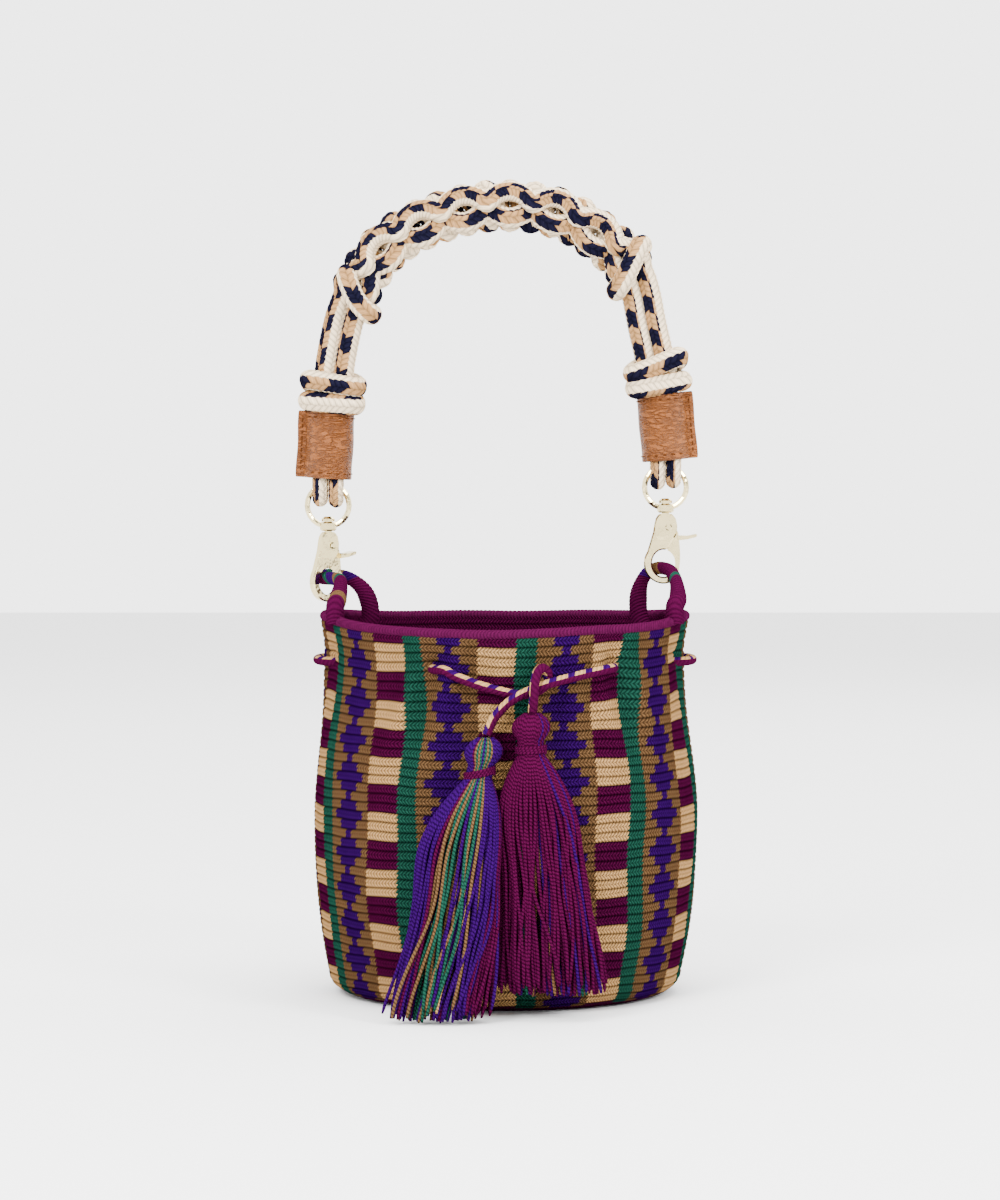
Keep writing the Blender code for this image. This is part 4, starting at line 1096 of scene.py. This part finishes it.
def ring_bend(line, at_start, outward):
    half = (ROPE + ROPE_CLEARANCE) / 2
    bar = RING_DROP - RING_RADIUS
    pass_by = RING_WIRE / 2 + ROPE / 2 + 2 * SEAT
    drop = RING_RADIUS - math.sqrt((RING_RADIUS - pass_by) ** 2 - half ** 2)
    levels = ((half, -5 * MM), (half + 0.3 * MM, 0.0), (pass_by, bar), (pass_by - 1.2 * MM, bar + 4.5 * MM),
              (pass_by / 2, bar + drop - 1 * MM), (0, bar + drop))
    levels = levels + tuple((-v, z) for v, z in levels[-2::-1])
    points = []
    for forward, below in levels:
        inside = min(below, 0.0)
        s = -inside if at_start else line.length + inside
        points.append(line.spot(s, outward, forward) - Vector((0, 0, max(below, 0.0))))
    return points


ROPE_ROLL = {"outer": (-0.04, -0.15), "inner": (-0.03, -0.05)}


def rope_size(path):
    """Radius along a rope, plumper where it comes out of the leather."""
    foot = np.where(path[:, 0] < 0, HANDLE_ROUTE[0][1], HANDLE_ROUTE[-1][1]) * MM + SLEEVE_LENGTH
    return ROPE / 2 + (ROPE_SHOWN - ROPE) / 2 * ease((path[:, 2] - foot + 2 * MM) / (8 * MM))


def make_ropes(line, look):
    grip = (line.near(GRIP_START), line.near(GRIP_END))
    pairs = {"outer": ("front_upper", "back_upper"), "inner": ("front_lower", "back_lower")}
    for number, (name, (front, back)) in enumerate(pairs.items()):
        outward, _ = leg_offset(line, front, 0)
        route = strand_run(line, back, grip)[:-1]
        route = ring_bend(line, True, outward) + route
        route = strand_run(line, front, grip)[-2:0:-1] + route
        route = ring_bend(line, False, outward)[::-1] + route
        path = smooth_route(route, ROUTE_STEP)
        roll = np.interp(np.linspace(0, 1, len(path)), (0.14, 0.36), ROPE_ROLL[name])
        mesh = swept("plaited_rope_" + name, path, rope_size(path), look, braid_relief, around=ROPE_SIDES,
                     start=7.0 * number, roll=roll)
        add_piece("plaited_rope_" + name, mesh, "handle", "handle_rope", "handle_rope_" + name)
    half = ROPE + ROPE_CLEARANCE / 2 + ROPE / 2 + SEAT * 1.5
    pitch = (COLLAR_LENGTH - ROPE) / (COLLAR_TURNS - 1)
    steps = round(COLLAR_TURNS * 24)
    for side, tilt in COLLAR_TILT.items():
        points = []
        for k in range(steps + 1):
            turns = COLLAR_TURNS * k / steps - 0.6
            angle = 2 * math.pi * turns + math.pi / 2
            climb = max(0.0, round(turns) + 4 * (turns - round(turns)) ** 3)
            radius = superellipse(angle, half)
            outward = radius * math.cos(angle)
            rise = (SLEEVE_LENGTH + ROPE_SHOWN / 2 - 0.6 * MM + pitch * climb
                    + tilt * outward * (0.4 + climb) / 1.4)
            points.append(line.spot(line.from_end(side, rise), outward, radius * math.sin(angle)))
        path = smooth_route(points, ROUTE_STEP)
        roll = np.linspace(0.0, 0.28, len(path)) if side == "left" else 0.06
        mesh = swept("rope_collar_" + side, path, ROPE_SHOWN / 2, look, braid_relief, around=ROPE_SIDES,
                     roll=roll)
        add_piece("rope_collar_" + side, mesh, "handle", "handle_rope", "collar_" + side)
    for side, (shift, aside, tilt, size) in WRAPS.items():
        centre = grip[side == "right"] + shift * MM
        points = []
        for k in range(28):
            angle = 2 * math.pi * k / 28
            radius = superellipse(angle, half)
            outward = radius * math.cos(angle) * size
            s = centre + tilt * outward + 1.5 * MM * math.cos(2 * angle)
            points.append(line.spot(s, outward + aside * MM, radius * math.sin(angle) * 1.2))
        path = closed_route(points, ROUTE_STEP)
        mesh = swept("rope_wrap_" + side, path, ROPE_SHOWN / 2, look, braid_relief, around=ROPE_SIDES,
                     closed=True, roll=0.1)
        add_piece("rope_wrap_" + side, mesh, "handle", "handle_rope", "grip_wrap_" + side)


def stitch_row(spots, look, name, body, length=2.6 * MM, thick=0.75 * MM):
    """Short waxed stitches, each a flattened capsule from one spot to the next direction."""
    meshes = []
    for spot, ahead, up in spots:
        ahead = np.array(ahead) / np.linalg.norm(ahead)
        up = np.array(up) / np.linalg.norm(up)
        side = np.cross(up, ahead)
        rings = []
        for t in np.linspace(-1, 1, 7):
            size = thick / 2 * math.sqrt(max(0.0, 1 - abs(t) ** 4)) + 0.02 * MM
            turn = circle(8)
            middle = np.array(spot) + ahead * t * length / 2 - up * 0.25 * MM * t * t
            rings.append(middle + side * (size * np.cos(turn))[:, None]
                         + up * (0.8 * size * np.sin(turn))[:, None])
        points = np.array(rings)
        uvs = np.zeros((7, 9, 2))
        meshes.append(grid_mesh("stitch", points, uvs, [look], caps=True))
    return add_piece(name, join_meshes(name, meshes), body, "leather")


def make_sleeves(line, look, thread):
    """Leather strip round the strands; its two edges meet in a sewn flap on the outer side."""
    inner = (ROPE + ROPE_CLEARANCE) / math.sqrt(2) + ROPE / 2 + 3 * SEAT
    outer = inner + LEATHER
    half_flap = LEATHER + 0.1 * MM
    lean = math.asin(half_flap / outer)
    groove = 0.22 * MM
    for side in ("left", "right"):
        section = []
        for k in range(49):
            angle = lean + (2 * math.pi - 2 * lean) * k / 48
            blend = math.exp(-(min(k, 48 - k) / 2.5) ** 2) * 0.8 * MM
            section.append(((outer + blend) * math.cos(angle), (outer + blend * 0.3) * math.sin(angle)))
        tip = outer + FLAP_REACH
        for share in np.linspace(0.15, 0.93, 5):
            section.append((outer + FLAP_REACH * share, -half_flap))
        section += [(tip, -half_flap * 0.8), (tip, -groove), (tip - 1.2 * MM, 0.0), (tip, groove),
                    (tip, half_flap * 0.8)]
        for share in np.linspace(0.93, 0.15, 5):
            section.append((outer + FLAP_REACH * share, half_flap))
        levels = [(0.0, 0.45, True), (0.0, 0.45, False), (0.008, 0.12, False), (0.02, 0.0, False)]
        levels += [(share, 0.0, False) for share in np.linspace(0.05, 0.95, 22)]
        levels += [(0.98, 0.0, False), (0.992, 0.12, False), (1.0, 0.45, False), (1.0, 0.45, True)]
        rows = []
        for share, inset, hollow in levels:
            s = line.from_end(side, SLEEVE_LENGTH * share)
            row = []
            for out, front in section:
                reach = math.hypot(out, front)
                if hollow:
                    size = (inner - 0.1 * MM) / reach
                else:
                    crease = 0.18 * MM * math.sin(9 * share + 3 * math.atan2(front, out))
                    size = (reach - inset * MM + crease * (0.02 < share < 0.98)) / reach
                row.append(tuple(line.spot(s, out * size, front * size)))
            rows.append(row)
        points = np.array(rows)
        if side == "right":
            points = points[:, ::-1]
        count = points.shape[1]
        uv_u, uv_v = np.meshgrid(np.arange(count + 1), np.arange(points.shape[0]))
        mesh = grid_mesh("leather_tube_" + side, points, np.stack([uv_u, uv_v], 2), [look])
        add_piece("leather_tube_" + side, mesh, "handle", "leather", "leather_sleeve_" + side)
        spots = []
        for share in (0.085, 0.915):
            s = line.from_end(side, SLEEVE_LENGTH * share)
            for k in range(15):
                angle = lean * 2 + (2 * math.pi - 4 * lean) * (k + 0.5) / 15
                proud = outer + 0.1 * MM
                here = np.array(line.spot(s, proud * math.cos(angle), proud * math.sin(angle)))
                there = np.array(line.spot(s, outer * math.cos(angle + 0.1), outer * math.sin(angle + 0.1)))
                core = np.array(line.spot(s, 0.0, 0.0))
                spots.append((here, there - here, here - core))
        for face in (-1, 1):
            for k in range(9):
                share = 0.09 + 0.82 * (k + 0.5) / 9
                s = line.from_end(side, SLEEVE_LENGTH * share)
                reach = outer + FLAP_REACH * 0.52
                here = np.array(line.spot(s, reach, face * (half_flap + 0.1 * MM)))
                there = np.array(line.spot(s + 1 * MM, reach, face * (half_flap + 0.1 * MM)))
                spots.append((here, there - here, np.array((0.0, -float(face), 0.0))))
        stitch_row(spots, thread, "sleeve_stitches_" + side, "handle")


def make_camera():
    camera = bpy.data.objects.new("camera", bpy.data.cameras.new("camera"))
    bpy.context.collection.objects.link(camera)
    camera.location = (-2.75 * MM, -2.4, 0.334)
    target = Vector((-2.75 * MM, 0.0, 0.2156))
    camera.rotation_euler = (target - camera.location).to_track_quat("-Z", "Y").to_euler()
    camera.data.sensor_width = 36
    camera.data.lens = 131
    bpy.context.scene.camera = camera


STUDIO_LIGHT = 4.0
PATCH_DIM = 0.04          # share of the light left in a dark patch, which the metal reflects
PATCH_EDGE = 0.08
DARK_PATCHES = (((0.7, -0.5, 0.51), 0.86), ((-0.8, -0.3, 0.52), 0.88), ((-0.1, -0.8, 0.59), 0.93))
# Each lamp: name, place, size, power
LAMPS = (
    ("key", (-0.9, -1.7, 1.5), 0.8, 85.0), ("top", (0.2, -0.3, 2.2), 1.0, 50.0),
    ("side", (1.25, -1.3, 1.1), 0.5, 45.0), ("back", (0.6, 1.8, 1.6), 1.2, 30.0),
)


def make_studio():
    """Pale floor, soft light and three dim patches of sky for the metal to reflect."""
    mesh = bpy.data.meshes.new("floor")
    half = 4.0
    corners = [(-half, -half, 0), (half, -half, 0), (half, half, 0), (-half, half, 0)]
    mesh.from_pydata(corners, [], [(0, 1, 2, 3)])
    paper = Look("pale_paper", 0.9)
    tone = paper.span(paper.noise(3, 2.0), 0.985, 1.0)
    mesh.materials.append(paper.colour(paper.shade(opaque(PAPER), tone)))
    floor = bpy.data.objects.new("floor", mesh)
    floor.location.z = -0.2 * MM
    bpy.context.collection.objects.link(floor)
    world = bpy.data.worlds.new("studio")
    bpy.context.scene.world = world
    world.use_nodes = True
    tree = world.node_tree
    backdrop = tree.nodes["Background"]
    backdrop.inputs[0].default_value = (1.0, 1.0, 1.0, 1.0)
    towards = tree.nodes.new("ShaderNodeTexCoord").outputs["Generated"]
    light = None
    for direction, wide in DARK_PATCHES:
        facing = tree.nodes.new("ShaderNodeVectorMath")
        facing.operation = "DOT_PRODUCT"
        facing.inputs[1].default_value = direction
        tree.links.new(towards, facing.inputs[0])
        dark = tree.nodes.new("ShaderNodeMapRange")
        dark.inputs[1].default_value = wide
        dark.inputs[2].default_value = wide + PATCH_EDGE
        dark.inputs[3].default_value = 1.0 if light else STUDIO_LIGHT
        dark.inputs[4].default_value = PATCH_DIM if light else PATCH_DIM * STUDIO_LIGHT
        tree.links.new(facing.outputs["Value"], dark.inputs[0])
        if light:
            both = tree.nodes.new("ShaderNodeMath")
            both.operation = "MULTIPLY"
            tree.links.new(light, both.inputs[0])
            tree.links.new(dark.outputs[0], both.inputs[1])
            light = both.outputs[0]
        else:
            light = dark.outputs[0]
    tree.links.new(light, backdrop.inputs[1])
    for name, spot, size, power in LAMPS:
        lamp = bpy.data.lights.new(name, "AREA")
        lamp.energy = power
        lamp.size = size
        thing = bpy.data.objects.new(name, lamp)
        thing.location = spot
        thing.rotation_euler = (Vector((0, 0, 0.2)) - thing.location).to_track_quat("-Z", "Y").to_euler()
        bpy.context.collection.objects.link(thing)


make_camera()
make_drawstring()
crochet = crochet_look()
make_wall(crochet)
make_inside(crochet)
make_base(crochet)
# The rim's yarn is the maroon with a painted highlight
make_welt(banded_look("rim_yarn", ((0, MAROON_PAINTED_HIGHLIGHT),)))
make_loop("right", 1, RIGHT_LOOP)
make_loop("left", -1, LEFT_LOOP)
yarns = [yarn_look("maroon_yarn", MAROON), yarn_look("purple_yarn", PURPLE), yarn_look("green_yarn", GREEN),
         yarn_look("tan_yarn", TAN), yarn_look("beige_yarn", BEIGE)]
for tassel_side, tassel_line in TASSELS.items():
    make_tassel(tassel_side, tassel_line, yarns)
handle_line = HandleLine()
make_ropes(handle_line, braid_look())
make_sleeves(handle_line, leather_look(), yarn_look("waxed_thread", WAXED))
gold = metal_look("pale_gold", GOLD)
steel = metal_look("spring_steel", STEEL)
for node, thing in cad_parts.items():
    if node.startswith(("swivel_ring", "hook_body", "trigger")):
        thing.data.materials.clear()
        thing.data.materials.append(steel if "spring" in node else gold)
make_studio()
